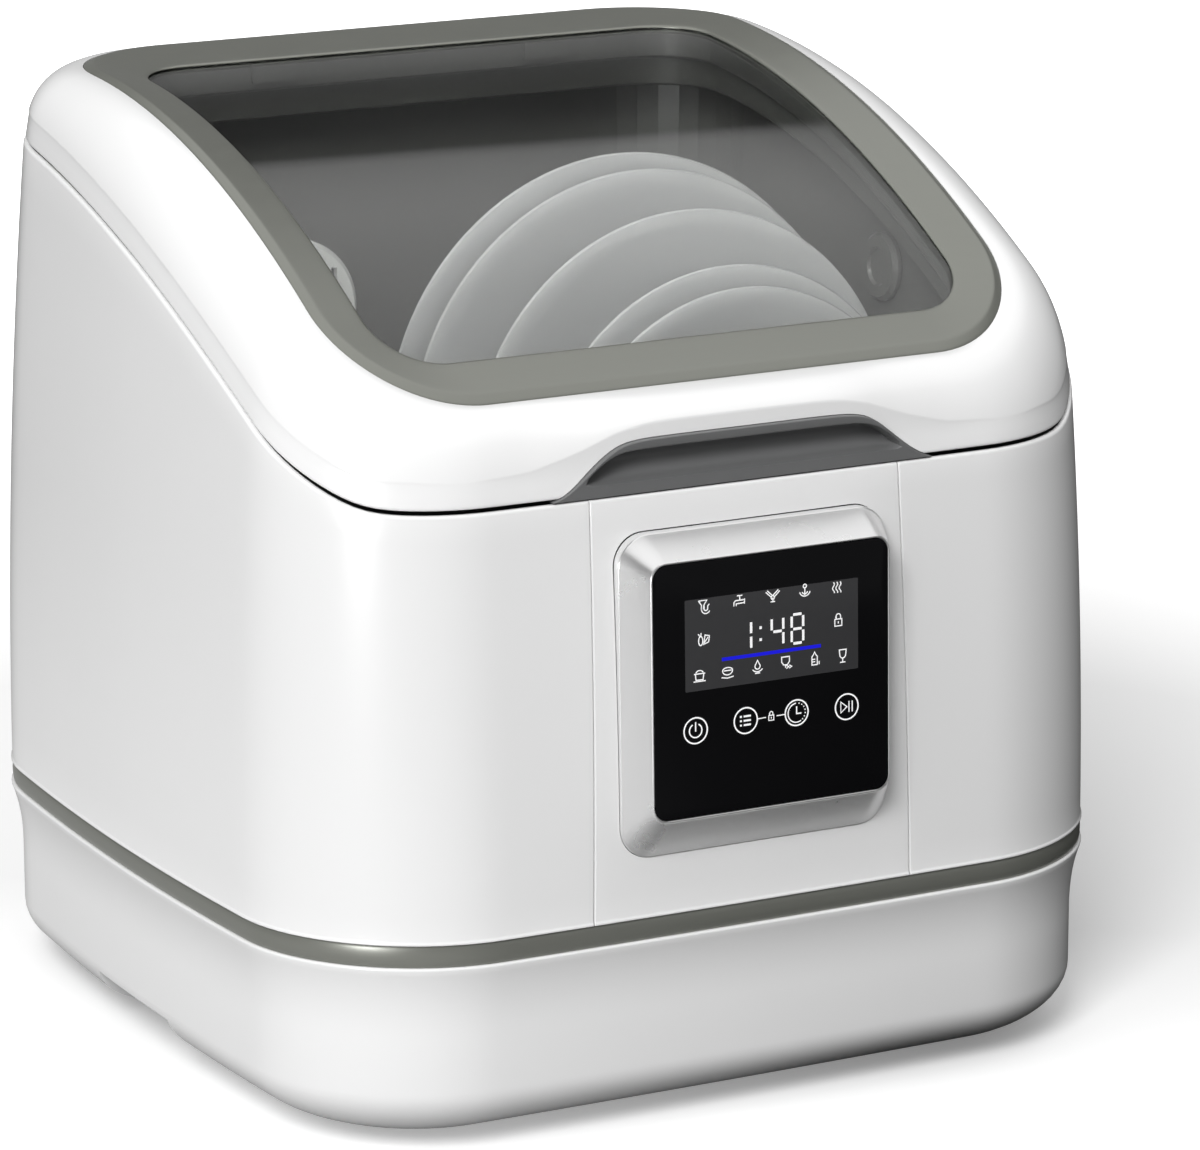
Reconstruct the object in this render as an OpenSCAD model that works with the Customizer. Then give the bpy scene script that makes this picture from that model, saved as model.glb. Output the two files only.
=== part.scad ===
// Countertop dishwasher with a sloping window lid that swings up from the rear.
// Millimetres, +Z up. The front faces -Y. The origin is the middle of the footprint on the floor.

/* [Body] */
// Width across the trim band
body_w = 420; // [400:1:440]
// Depth across the trim band
body_d = 411; // [395:1:425]
// Radius of the upright corners in plan
corner_r = 78; // [60:1:90]
// How far the side walls bow out between the corners
side_bow = 12; // [0:0.5:14]
// How far the front and rear walls bow out between the corners
front_bow = 3; // [0:0.5:4]
// Wall thickness of the moulded shells
wall = 3; // [2:0.1:4]
// Height of the underside of the trim band
band_z = 89; // [86:1:96]
// Height of the trim band
band_h = 10; // [6:0.5:14]
// Height of the feet under the base
foot_h = 5; // [3:0.5:8]
// Radius of a foot
foot_r = 16; // [10:0.5:18]
// Inward draw of the walls 100 mm above the band
wall_draw = 1.5; // [0.5:0.1:2]
// Backward lean of the front wall 100 mm above the band
front_lean = 2; // [1:0.1:3]

/* [Base] */
// How far the base wall stands back from the band
base_inset = 5; // [4:0.5:12]
// Height of the hollow cove under the band
cove_h = 33; // [24:1:38]
// Reach of the rounded bottom edge in plan
bottom_round = 46; // [36:1:50]
// Height of the rounded bottom edge
bottom_rise = 26; // [20:1:30]
// Width of a hand grip in the side of the base
grip_w = 96; // [80:1:110]
// Height of a hand grip
grip_h = 22; // [18:1:26]
// Depth of a hand grip into the base
grip_depth = 23; // [17:1:27]

/* [Lid seam] */
// Height of the seam along the front
seam_z = 282; // [276:1:288]
// How much higher the seam is at the rear
seam_rise = 110; // [100:1:116]
// Space between the front and the place where the seam starts to climb
seam_front = 21.5; // [18:0.5:26]
// Space between the end of its climb and the rear
seam_rear = 15.5; // [14:0.5:20]
// Gap between casing and lid
seam_gap = 1.2; // [0.8:0.1:1.6]
// How far the lid stands back from the casing
lid_step = 1.5; // [1:0.1:2.5]

/* [Lid] */
// Height of the level top of the lid
lid_top = 423.5; // [420:0.5:428]
// Length of the level top, from the rear to where the slope starts
level_top = 75.5; // [68:0.5:86]
// Drop of the slope over its length
slope_drop = 101; // [95:1:106]
// Space between the body's side and the window frame
frame_side = 44; // [42:1:50]
// Space between the body's front or rear and the window frame
frame_end = 35.5; // [33.5:0.5:40.5]
// Corner radius of the window frame
frame_r = 57; // [50:1:62]
// Width of the window frame at the sides
band_side = 23; // [20:1:30]
// Width of the window frame in front
band_front = 24.5; // [22:0.5:30]
// Width of the window frame behind
band_rear = 44; // [40:1:52]
// Corner radius of the visible glass
pane_r = 28; // [22:1:34]
// Thickness of the glass
glass_t = 4; // [3:0.5:5]
// How far the window frame stands proud
frame_proud = 1.6; // [1:0.1:2.5]
// Height of the upright skirt of the lid
skirt_h = 8; // [5:0.5:10]

/* [Grip in the lid] */
// Half width of the grip at the seam
pull_w = 92; // [86:1:96]
// Half width of the grip at its top
pull_top_w = 56; // [50:1:62]
// Height of the grip
pull_h = 23; // [20:0.5:26]
// Depth of the grip
pull_depth = 13; // [9:0.5:14]
// Width of its rim
pull_rim = 4.5; // [3:0.5:6]

/* [Controls] */
// Width of the panel between the two front seams, at the band
panel_w = 155; // [152:1:160]
// Width of that panel at the lid seam
panel_top_w = 149; // [146:1:152]
// Gap of the two front seams
panel_gap = 0.4; // [0.2:0.1:0.8]
// Width of the control surround at the wall
surround_w = 130; // [126:1:136]
// Lower edge of the control surround
surround_z = 126; // [120:1:130]
// Space between the control surround's top and the seam
surround_top = 15; // [12:1:18]
// Corner radius of the control surround
surround_r = 14; // [10:1:18]
// How far the control surround stands out
surround_out = 17; // [14:0.5:20]
// Width of the control glass
key_glass_w = 113.5; // [110:0.5:116]
// Height of the control glass
key_glass_h = 110.6; // [106:0.5:112]
// Lower edge of the control glass
key_glass_z = 145.6; // [144:0.2:148]
// Thickness of the control glass
key_glass_t = 2.5; // [2:0.5:4]
// Width of the lit display
lcd_w = 84.4; // [80:0.2:88]
// Height of the lit display
lcd_h = 39.7; // [36:0.2:42]
// Lower edge of the lit display
lcd_z = 200.6; // [196:0.2:204]

/* [Tub] */
// Space between the body's side and the tub's inner face at the rim
tub_side = 42; // [40:1:46]
// Space between the body's front or rear and the tub's inner face at the rim
tub_end = 42.5; // [40.5:0.5:47.5]
// How much narrower the tub is at its floor, each side
tub_draft = 12; // [8:1:14]
// Corner radius of the tub
tub_r = 52; // [44:1:56]
// Height of the tub floor
tub_floor = 118; // [114:1:122]
// Thickness of the tub
tub_t = 2.5; // [2:0.1:3]
// Radius of the sump bowl
sump_r = 58; // [54:1:60]
// Depth of the sump bowl
sump_depth = 36; // [30:1:40]
// How far the sump bowl lies in front of the spray arm
sump_shift = 20; // [16:1:24]

/* [Washing] */
// Space between the tub's wall and the path of the spray arm's tips
arm_clear = 19; // [14:1:30]
// Width of the spray arm
arm_w = 28; // [22:1:32]
// Thickness of the spray arm
arm_t = 10; // [8:0.5:12]
// Radius of the spray arm's journal
journal_r = 8; // [6:0.5:10]
// Space between the heater's ring and the path of the spray arm's tips
heater_in = 32; // [24:1:42]
// Radius of the heater tube
heater_tube = 3.2; // [2.5:0.1:4]
// Radius of the filter cup
filter_r = 24; // [20:1:26]
// Radius of the circulation pump's housing
pump_r = 33; // [28:1:35]
// Radius of the circulation pump's motor
motor_r = 30; // [26:1:32]
// Length of that motor
motor_len = 70; // [60:1:76]
// Radius of the drain pump's housing
drain_r = 21; // [18:1:23]
// Outer radius of the water pipes
pipe_r = 9; // [8:0.5:10]

/* [Drying fan] */
// Side of the fan housing
fan_side = 76; // [70:1:80]
// Thickness of the fan housing
fan_t = 18; // [14:0.5:19]
// Sideways place of the fan
fan_x = -49; // [-60:1:-40]
// Height of the fan's axis
fan_z = 296; // [280:1:312]

/* [Basket] */
// Space between the basket's rim and the tub's rim
basket_gap = 19; // [19:1:28]
// Corner radius of the basket
basket_r = 24; // [23:1:32]
// Height of the basket floor
basket_z = 150; // [148:1:156]
// Height of the basket rim above its floor
basket_h = 84; // [70:1:88]
// Radius of the basket wires
wire_r = 1.8; // [1.5:0.1:2.4]
// Radius of the rim wire
rim_r = 2.6; // [2:0.1:3]
// Spacing of the plate tines
tine_pitch = 32; // [28:1:34]
// Height of the plate tines
tine_h = 62; // [50:1:66]
// Width of the cutlery holder
cutlery_w = 38; // [34:1:42]
// Length of the cutlery holder
cutlery_l = 200; // [160:2:210]
// Height of the cutlery holder
cutlery_h = 82; // [70:1:86]

/* [Hinge] */
// Space between the hinge axis and the rear
hinge_in = 19.5; // [18.5:0.5:20.5]
// Height of the hinge axis
hinge_z = 401; // [400:0.5:402]
// Space between each hinge's middle and the body's side
hinge_side = 100; // [90:1:120]
// Radius of a hinge pin
pin_r = 2.5; // [2:0.1:3]
// Radius of a hinge knuckle
knuckle_r = 5.2; // [4.8:0.1:5.5]
// Width of the moving knuckle
knuckle_w = 14; // [10:1:18]
// Thickness of a fixed ear
ear_t = 4; // [3:0.5:5]

/* [Clearances] */
// Running clearance of a journal or a pin, on the radius
run_fit = 0.06; // [0.02:0.01:0.1]
// Gap between pieces that are laid or clipped in place
seat_gap = 0.3; // [0.2:0.05:0.4]

/* [Hidden] */

half_w = body_w / 2;
half_d = body_d / 2;
seam_start = seam_front - half_d;
seam_run = half_d - seam_rear - seam_start;
frame_w = half_w - frame_side;
frame_d = half_d - frame_end;
slope_start = half_d - level_top;
slope_run = slope_start + frame_d;
surround_h = seam_z - surround_top - surround_z;
pane_w = frame_w - band_side;
pane_front = band_front - frame_d;
pane_rear = frame_d - band_rear;
tub_w = half_w - tub_side;
tub_d = half_d - tub_end;
basket_w = tub_w - basket_gap;
basket_d = tub_d - basket_gap;
hinge_x = half_w - hinge_side;
hinge_y = half_d - hinge_in;
arm_reach = min(tub_w, tub_d) - tub_draft - arm_clear;
heater_r = arm_reach - heater_in;
casing_z = band_z + band_h;
far = 400;
round_fn = 64;
// Play round and under pieces that rest on each other
rest_gap = 0.2;
// Play of a pipe in its bore
bore_fit = 0.1;
// Length of a cutter that passes well beyond a thin wall
cut_run = 20;

// ---- Plan outline: stations [u, v, angle] round a rounded rectangle, anticlockwise ----
corner_steps = 8;
side_steps = 8;
SIGNS = [[1, 1], [-1, 1], [-1, -1], [1, -1]];

function corner_stations(q) = [
    for (i = [0 : corner_steps - 1]) [SIGNS[q].x, SIGNS[q].y, 90 * (q + i / corner_steps)]
];
function side_stations(q) = [
    for (i = [0 : side_steps - 1])
        let (p = SIGNS[q] + (SIGNS[(q + 1) % 4] - SIGNS[q]) * i / side_steps)
        [p.x, p.y, 90 * (q + 1)]
];
STATIONS = [for (q = [0 : 3]) each concat(corner_stations(q), side_stations(q))];
COUNT = len(STATIONS);

function plan(s, w, d, r) = [s.x * (w - r) + r * cos(s.z), s.y * (d - r) + r * sin(s.z)];
function bowed(p) = [
    p.x - sign(p.x) * side_bow * pow(p.y / half_d, 2),
    p.y - sign(p.y) * front_bow * pow(p.x / half_w, 2)
];
// The front leans back steadily at first and more towards the top
lean_span = 100;
lean_even = 0.65;
function rise(z) = max(z - casing_z, 0) / lean_span;
function draw(z) = wall_draw * pow(rise(z), 2);
function lean(z) = front_lean * (lean_even * rise(z) + (1 - lean_even) * pow(rise(z), 2));

// Point of the body wall at a station, a height and an inward offset
function wall_pt(s, z, inset = 0) =
    let (
        in = draw(z) + inset,
        p = bowed(plan(s, half_w - in, half_d - in, corner_r - in)),
        k = p.y < 0 ? 1 - lean(z) / half_d : 1
    )
    [p.x, p.y * k, z];
function wall_ring(z, inset = 0) = [for (s = STATIONS) wall_pt(s, z, inset)];
function box_ring(w, d, r, z, cy = 0) = [
    for (s = STATIONS) let (p = plan(s, w, d, r)) [p.x, p.y + cy, z]
];
function front_y(z) = -(half_d - draw(z) - lean(z));

// Height of the seam between casing and lid, level in front and levelling out again behind
seam_blend = 9;
function climb(y) =
    let (
        t = (y - seam_start) / seam_run,
        soft = (t + sqrt(t * t + pow(seam_blend / seam_run, 2))) / 2,
        u = min(soft, 1)
    )
    seam_z + seam_rise * (1 - (1 - u) * (1 - u));
SEAM = [for (s = STATIONS) climb(bowed(plan(s, half_w, half_d, corner_r)).y)];

// Height of the lid's top surface over a depth
function top_z(y) = lid_top - slope_drop * pow(max(slope_start - y, 0) / slope_run, 2);

// Window outlines: t is 0 at the outer edge of the window frame and 1 at the visible glass
pane_mid = (pane_front + pane_rear) / 2;
pane_d = (pane_rear - pane_front) / 2;
function mix(a, b, t) = a + (b - a) * t;
function window_pt(s, t, lift, grow = 0) =
    let (
        p = plan(s, mix(frame_w, pane_w, t) + grow, mix(frame_d, pane_d, t) + grow,
                 mix(frame_r, pane_r, t) + grow),
        y = p.y + mix(0, pane_mid, t)
    )
    [p.x, y, top_z(y) + lift];
function window_ring(t, lift) = [for (s = STATIONS) window_pt(s, t, lift)];

// ---- Generic solids ----
// Solid through a stack of rings: open stacks are capped, closed ones join last to first
module skin(rings, closed = false) {
    n = len(rings[0]);
    m = len(rings);
    top = (m - 1) * n;
    last = closed ? m - 1 : m - 2;
    sides = [
        for (j = [0 : last]) for (i = [0 : n - 1])
            let (k = (j + 1) % m, h = (i + 1) % n)
            let (a = j * n + i, b = k * n + i, c = k * n + h, d = j * n + h)
            each [[a, b, c], [a, c, d]]
    ];
    // Caps fan out from the middle of the first and the last ring
    caps = closed ? [] : [
        for (i = [0 : n - 1])
            let (h = (i + 1) % n)
            each [[m * n, i, h], [m * n + 1, top + h, top + i]]
    ];
    middles = closed ? [] : [ring_mid(rings[0]), ring_mid(rings[m - 1])];
    polyhedron(concat([for (r = rings) each r], middles), concat(sides, caps), convexity = 10);
}
function ring_mid(ring) = [
    for (axis = [0 : 2])
        let (along = [for (p = ring) p[axis]]) (min(along) + max(along)) / 2
];

module rounded_rect(w, d, r) {
    square([w - 2 * r, d], center = true);
    square([w, d - 2 * r], center = true);
    for (x = [-1, 1], y = [-1, 1]) translate([x * (w / 2 - r), y * (d / 2 - r)])
        circle(r, $fn = round_fn);
}

// Slot with round ends, along Y
module slot(w, l) {
    square([w, l - w], center = true);
    for (y = [-1, 1]) translate([0, y * (l - w) / 2]) circle(w / 2, $fn = round_fn);
}

module rounded_box(w, d, h, r) {
    linear_extrude(h) rounded_rect(w, d, r);
}

module tube(r_out, r_in, h) {
    difference() {
        cylinder(r = r_out, h = h, $fn = round_fn);
        translate([0, 0, -1]) cylinder(r = r_in, h = h + 2, $fn = round_fn);
    }
}

// Rod from one point to another
module rod(a, b, r) {
    v = b - a;
    len_v = norm(v);
    translate(a) rotate([0, acos(v.z / len_v), atan2(v.y, v.x)])
        cylinder(r = r, h = len_v, $fn = round_fn);
}

module path_rod(points, r) {
    for (i = [0 : len(points) - 2]) rod(points[i], points[i + 1], r);
    for (i = [1 : len(points) - 2]) translate(points[i]) sphere(r, $fn = round_fn);
}

// Hollow hose along a path, open at both ends
module hose(points, r, t) {
    n = len(points);
    first = points[0] + (points[0] - points[1]) / norm(points[0] - points[1]);
    final = points[n - 1] + (points[n - 1] - points[n - 2]) / norm(points[n - 1] - points[n - 2]);
    inner = concat([first], [for (i = [1 : n - 2]) points[i]], [final]);
    difference() {
        path_rod(points, r);
        path_rod(inner, r - t);
    }
}

// Axis of a piece turned from +Z to +Y
module along_y() {
    rotate([-90, 0, 0]) children();
}

// ---- Base ----
lip_h = 2.5;
function bottom_ring(a, t = 0) = wall_ring(
    foot_h + t + (bottom_rise - t) * (1 - cos(a)),
    base_inset + t + (bottom_round - t) * (1 - sin(a))
);
function cove_ring(b, t = 0) = wall_ring(
    band_z - cove_h + (cove_h - lip_h) * sin(b),
    base_inset * cos(b) + t
);
bottom_angles = [0, 20, 40, 60, 75, 90];
cove_angles = [0, 25, 50, 70, 90];
tray_outer = concat(
    [for (a = bottom_angles) bottom_ring(a)],
    [for (b = cove_angles) cove_ring(b)],
    [wall_ring(band_z)]
);
tray_inner = concat(
    [for (a = bottom_angles) bottom_ring(a, wall)],
    [for (b = cove_angles) cove_ring(b, wall)],
    [wall_ring(band_z + 1, wall)]
);
grip_face = half_w - base_inset - grip_depth;
grip_slant = 10;
service_w = 200;
service_d = 150;
service_r = 12;
port_cut = 12;
grip_cut = 60;

// Trapezoid prism of a hand grip, grown by t
module grip_block(t) {
    for (side = [-1, 1]) scale([side, 1, 1])
        translate([grip_face - t, 0, 0]) rotate([90, 0, 90]) linear_extrude(grip_cut)
            polygon([
                [-grip_w / 2 - t, -1], [grip_w / 2 + t, -1],
                [grip_w / 2 - grip_slant + t, foot_h + grip_h + t],
                [-grip_w / 2 + grip_slant - t, foot_h + grip_h + t]
            ]);
}

port_side = 114;
valve_side = 102;
drain_x = port_side - half_w;
valve_x = half_w - valve_side;
gland_x = 0;
port_z = 50;
port_r = 9.5;
valve_port_r = 13;
gland_r = 8;
rear_wall_y = half_d - base_inset;

module base_tray() {
    color("gainsboro") difference() {
        skin(tray_outer);
        difference() {
            skin(tray_inner);
            grip_block(wall);
        }
        grip_block(0);
        translate([0, 0, foot_h - 1]) rounded_box(service_w, service_d, wall + 2, service_r);
        translate([drain_x, rear_wall_y - port_cut, port_z]) along_y()
            cylinder(r = port_r + seat_gap, h = 2 * port_cut, $fn = round_fn);
        translate([valve_x, rear_wall_y - port_cut, port_z]) along_y()
            cylinder(r = valve_port_r + seat_gap, h = 2 * port_cut, $fn = round_fn);
        translate([gland_x, rear_wall_y - port_cut, port_z]) along_y()
            cylinder(r = gland_r + seat_gap, h = 2 * port_cut, $fn = round_fn);
    }
}

vent_pitch = 12;
vent_slot_w = 4;
vent_slot_l = 70;
module service_plate() {
    color("silver") difference() {
        translate([0, 0, foot_h + rest_gap]) rounded_box(service_w - 2 * seat_gap, service_d - 2 * seat_gap,
            wall - 2 * rest_gap, service_r - seat_gap);
        for (i = [-4 : 4]) translate([i * vent_pitch, 0, foot_h - 1]) linear_extrude(wall + 2)
            slot(vent_slot_w, vent_slot_l);
    }
}

foot_x = 125;
foot_y = 115;
foot_bevel = 1.5;
module foot(x, y) {
    color("dimgray") translate([x, y, 0]) rotate_extrude($fn = round_fn)
        polygon([
            [0, 0], [foot_r - foot_bevel, 0], [foot_r, foot_bevel], [foot_r - 1, foot_h], [0, foot_h]
        ]);
}
module foot_front_left() { foot(-foot_x, -foot_y); }
module foot_front_right() { foot(foot_x, -foot_y); }
module foot_rear_left() { foot(-foot_x, foot_y); }
module foot_rear_right() { foot(foot_x, foot_y); }

band_back = 0.5;
module trim_band() {
    color("gray") skin([
        wall_ring(band_z, band_back), wall_ring(casing_z, band_back),
        wall_ring(casing_z, wall + 1), wall_ring(band_z, wall + 1)
    ], closed = true);
}

// ---- Casing ----
edge_round = 1.5;
function casing_ring(v, inset) = [
    for (i = [0 : COUNT - 1]) wall_pt(STATIONS[i], mix(casing_z, SEAM[i] - edge_round, v), inset)
];
function seam_ring(inset, drop = 0) = [
    for (i = [0 : COUNT - 1]) wall_pt(STATIONS[i], SEAM[i] - drop, inset)
];
level_step = 0.25;
levels = [0 : level_step : 1];
module casing_body() {
    skin(concat(
        [for (v = levels) casing_ring(v, 0)],
        [seam_ring(edge_round / 2), seam_ring(wall)],
        [for (v = [1 : -level_step : 0]) casing_ring(v, wall)]
    ), closed = true);
}

panel_over = 8;
// Prism through the front wall, as wide as the centre panel, grown by g
module panel_prism(g) {
    translate([0, -half_d / 2, 0]) rotate([90, 0, 0]) linear_extrude(half_d)
        polygon([
            [-panel_w / 2 - g, casing_z - 1], [panel_w / 2 + g, casing_z - 1],
            [panel_top_w / 2 + g, seam_z + panel_over], [-panel_top_w / 2 - g, seam_z + panel_over]
        ]);
}

rear_w = 240;
rear_low = 116;
rear_high = 350;
module rear_prism(g) {
    translate([-rear_w / 2 - g, half_d / 2, rear_low - g])
        cube([rear_w + 2 * g, half_d, rear_high - rear_low + 2 * g]);
}

module outer_casing() {
    color("whitesmoke") difference() {
        casing_body();
        panel_prism(panel_gap);
        rear_prism(seat_gap);
    }
}

// ---- Control surround, in a frame laid on the front wall ----
control_z = key_glass_z + key_glass_h / 2;
tilt_span = 50;
tilt = atan((lean(control_z + tilt_span) - lean(control_z - tilt_span)) / (2 * tilt_span));
module on_front() {
    translate([0, front_y(control_z), control_z]) rotate([90 - tilt, 0, 0]) children();
}
surround_cy = surround_z + surround_h / 2 - control_z;
cut_reach = 15;

module front_panel() {
    color("whitesmoke") difference() {
        intersection() {
            casing_body();
            panel_prism(0);
        }
        on_front() translate([0, surround_cy, -cut_reach])
            rounded_box(surround_w + 2 * seat_gap, surround_h + 2 * seat_gap,
                2 * cut_reach, surround_r + seat_gap);
    }
}

slot_w = 5;
slot_end = 8;
module rear_panel() {
    color("whitesmoke") difference() {
        intersection() {
            casing_body();
            rear_prism(0);
        }
        for (i = [-4 : 4])
            translate([fan_x + i * 2 * slot_w - slot_w / 2, half_d / 2, fan_z - fan_side / 2 + slot_end])
            cube([slot_w, half_d, fan_side - 2 * slot_end]);
    }
}

key_seat = 0.3;
ledge_w = 4;
ledge_t = 3;
glass_r = 6;
face_r = 8;
face_round = 1.2;
face_soft = 0.4;
surround_edge = 1.8;
function key_ring(grow, z, r, cy = 0) = box_ring(key_glass_w / 2 + grow, key_glass_h / 2 + grow, r, z, cy);
module control_surround() {
    color("whitesmoke") on_front() skin([
        box_ring(surround_w / 2, surround_h / 2, surround_r, -wall, surround_cy),
        box_ring(surround_w / 2, surround_h / 2, surround_r, 1, surround_cy),
        key_ring(surround_edge + face_round, surround_out - 2, face_r),
        key_ring(surround_edge + face_soft, surround_out - face_round / 2, face_r),
        key_ring(surround_edge, surround_out, face_r),
        key_ring(key_seat, surround_out, glass_r + key_seat),
        key_ring(key_seat, surround_out - key_glass_t - rest_gap, glass_r + key_seat),
        key_ring(-ledge_w, surround_out - key_glass_t - rest_gap, glass_r),
        key_ring(-ledge_w, surround_out - key_glass_t - ledge_t, glass_r),
        box_ring(surround_w / 2 - wall, surround_h / 2 - wall, surround_r - wall, -wall, surround_cy)
    ], closed = true);
}

module control_glass() {
    color("black") on_front() translate([0, 0, surround_out - key_glass_t])
        rounded_box(key_glass_w, key_glass_h, key_glass_t, glass_r);
}

lcd_t = 5;
lcd_cy = lcd_z + lcd_h / 2 - control_z;
board_t = 1.6;
board_z = surround_out - key_glass_t - 2 * rest_gap - lcd_t - board_t;
board_edge = 1.5;
module display_module() {
    color("dimgray") on_front() translate([0, lcd_cy, board_z + board_t + rest_gap]) {
        translate([-lcd_w / 2, -lcd_h / 2, 0]) cube([lcd_w, lcd_h, lcd_t]);
    }
}

key_x = [-37, -12.5, 12.5, 36.5];
key_y = -17;
key_r = 6;
module touch_board() {
    color("darkgreen") on_front() {
        translate([0, 0, board_z])
            rounded_box(key_glass_w - 2 * (ledge_w + board_edge), key_glass_h - 2 * (ledge_w + board_edge),
                board_t, board_r);
        for (x = key_x) translate([x, key_y, board_z + board_t])
            cylinder(r = key_r, h = lcd_t + rest_gap, $fn = round_fn);
    }
}

// ---- Tub ----
flange_drop = 5;
flange_t = 2;
function rim_ring(w, d, r, drop) = [
    for (i = [0 : COUNT - 1]) let (p = plan(STATIONS[i], w, d, r)) [p.x, p.y, SEAM[i] - drop]
];
function tub_wall_ring(grow, drop) = rim_ring(tub_w + grow, tub_d + grow, tub_r + grow, drop);
function tub_floor_ring(grow, z) = box_ring(
    tub_w - tub_draft + grow, tub_d - tub_draft + grow, tub_r - tub_draft / 2 + grow, z
);
tub_fillet = 10;
fillet_mid = 1 / 3;
hook_w = 14;
hook_y = front_y(seam_z) + lid_step + pull_depth;
hook_t = 2.5;
slot_before = 6;
slot_front = hook_y - slot_before;
slot_rear = hook_y + hook_t + 2;

// Lean of the tub's rear wall
wall_foot = tub_floor + tub_fillet;
rim_drop = flange_drop - flange_t;
tub_lean = atan(tub_draft / (seam_z + seam_rise - rim_drop - wall_foot));
fan_wall_y = tub_d - tub_draft + (fan_z - wall_foot) * tan(tub_lean);
vent_r = 33;
duct_r = 29;
module on_rear_wall() {
    translate([fan_x, fan_wall_y, fan_z]) rotate([90 - tub_lean, 0, 0]) children();
}

boss_y = -25;
boss_z = 328;
boss_r = 16;
boss_gap = 0.5;
// Height of the tub's rim at the station beside the boss
boss_rim = climb(boss_y * (half_d - corner_r) / (tub_d - tub_r)) - rim_drop;
boss_lean = atan(tub_draft / (boss_rim - wall_foot));
boss_wall_x = tub_w - tub_draft + (boss_z - wall_foot) * tan(boss_lean);

// The heater's ring is open behind; its legs stand just inside the two ends
leg_angle = 15;
leg_drop = 18;
leg_slim = 0.2;
leg_turn = leg_angle + atan((heater_tube + leg_slim) / heater_r);
module heater_legs(r, h) {
    for (a = [90 - leg_turn, 90 + leg_turn])
        translate([heater_r * cos(a), heater_r * sin(a), tub_floor - leg_drop])
            cylinder(r = r, h = h, $fn = round_fn);
}

fill_z = 230;
module tub() {
    color("dimgray") difference() {
        skin([
            tub_floor_ring(tub_t - tub_fillet, tub_floor - tub_t),
            tub_floor_ring(tub_t - tub_fillet * fillet_mid, tub_floor - tub_t + tub_fillet * fillet_mid),
            tub_floor_ring(tub_t, tub_floor + tub_fillet),
            tub_wall_ring(tub_t, flange_drop),
            seam_ring(wall + seat_gap, flange_drop),
            seam_ring(wall + seat_gap, flange_drop - flange_t),
            tub_wall_ring(0, flange_drop - flange_t),
            tub_floor_ring(0, tub_floor + tub_fillet),
            tub_floor_ring(-tub_fillet * fillet_mid, tub_floor + tub_fillet * fillet_mid),
            tub_floor_ring(-tub_fillet, tub_floor)
        ]);
        translate([0, -sump_shift, tub_floor - cut_run])
            cylinder(r = sump_r, h = 2 * cut_run, $fn = round_fn);
        heater_legs(heater_tube + seat_gap, leg_drop + cut_run);
        on_rear_wall() translate([0, 0, -cut_run / 2])
            cylinder(r = duct_r + seat_gap, h = cut_run, $fn = round_fn);
        translate([valve_x, tub_d - tub_draft - tub_t, fill_z]) along_y()
            cylinder(r = pipe_r - 2 + seat_gap, h = cut_run, $fn = round_fn);
        translate([-hook_w / 2 - 2, slot_front, seam_z - cut_run])
            cube([hook_w + 4, slot_rear - slot_front, 2 * cut_run]);
    }
}

seal_seat = 0.5;
// Where the seal lies on the tub's flange: 0 is the flange's inner edge and 1 its outer edge
seal_in = 0.09;
seal_out = 0.31;
seal_bevel = 0.06;
seal_top = 2.2;
function flange_ring(t, drop) =
    let (a = tub_wall_ring(0, drop), b = seam_ring(wall + seat_gap, drop))
    [for (i = [0 : COUNT - 1]) a[i] + (b[i] - a[i]) * t];
module tub_seal() {
    color("darkgray") skin([
        flange_ring(seal_out, rim_drop - seal_seat), flange_ring(seal_out, 0),
        flange_ring(seal_out - seal_bevel, -seal_top), flange_ring(seal_in + seal_bevel, -seal_top),
        flange_ring(seal_in, 0), flange_ring(seal_in, rim_drop - seal_seat)
    ], closed = true);
}

// Round vent cover inside the tub, with slats
slat_pitch = 7;
slat_w = 3;
slat_l = 36;
cover_t = 4;
module vent_cover() {
    color("white") on_rear_wall() difference() {
        translate([0, 0, rest_gap]) rotate_extrude($fn = round_fn)
            polygon([[0, 0], [vent_r, 0], [vent_r, cover_t / 2], [vent_r - 2, cover_t], [0, cover_t]]);
        for (i = [-3 : 3]) translate([i * slat_pitch - slat_w / 2, -slat_l / 2, -1])
            cube([slat_w, slat_l, 2 * cover_t]);
    }
}

boss_t = 4;
dish_r = 9;
dish_t = 2.5;
module wall_boss() {
    color("dimgray") translate([boss_wall_x, boss_y, boss_z]) rotate([0, -90 + boss_lean, 0])
        translate([0, 0, boss_gap]) rotate_extrude($fn = round_fn)
            polygon([
                [0, 0], [boss_r, 0], [boss_r, boss_t / 2], [boss_r - 2, boss_t],
                [dish_r, boss_t], [dish_r - 1, dish_t], [0, dish_t]
            ]);
}

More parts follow.
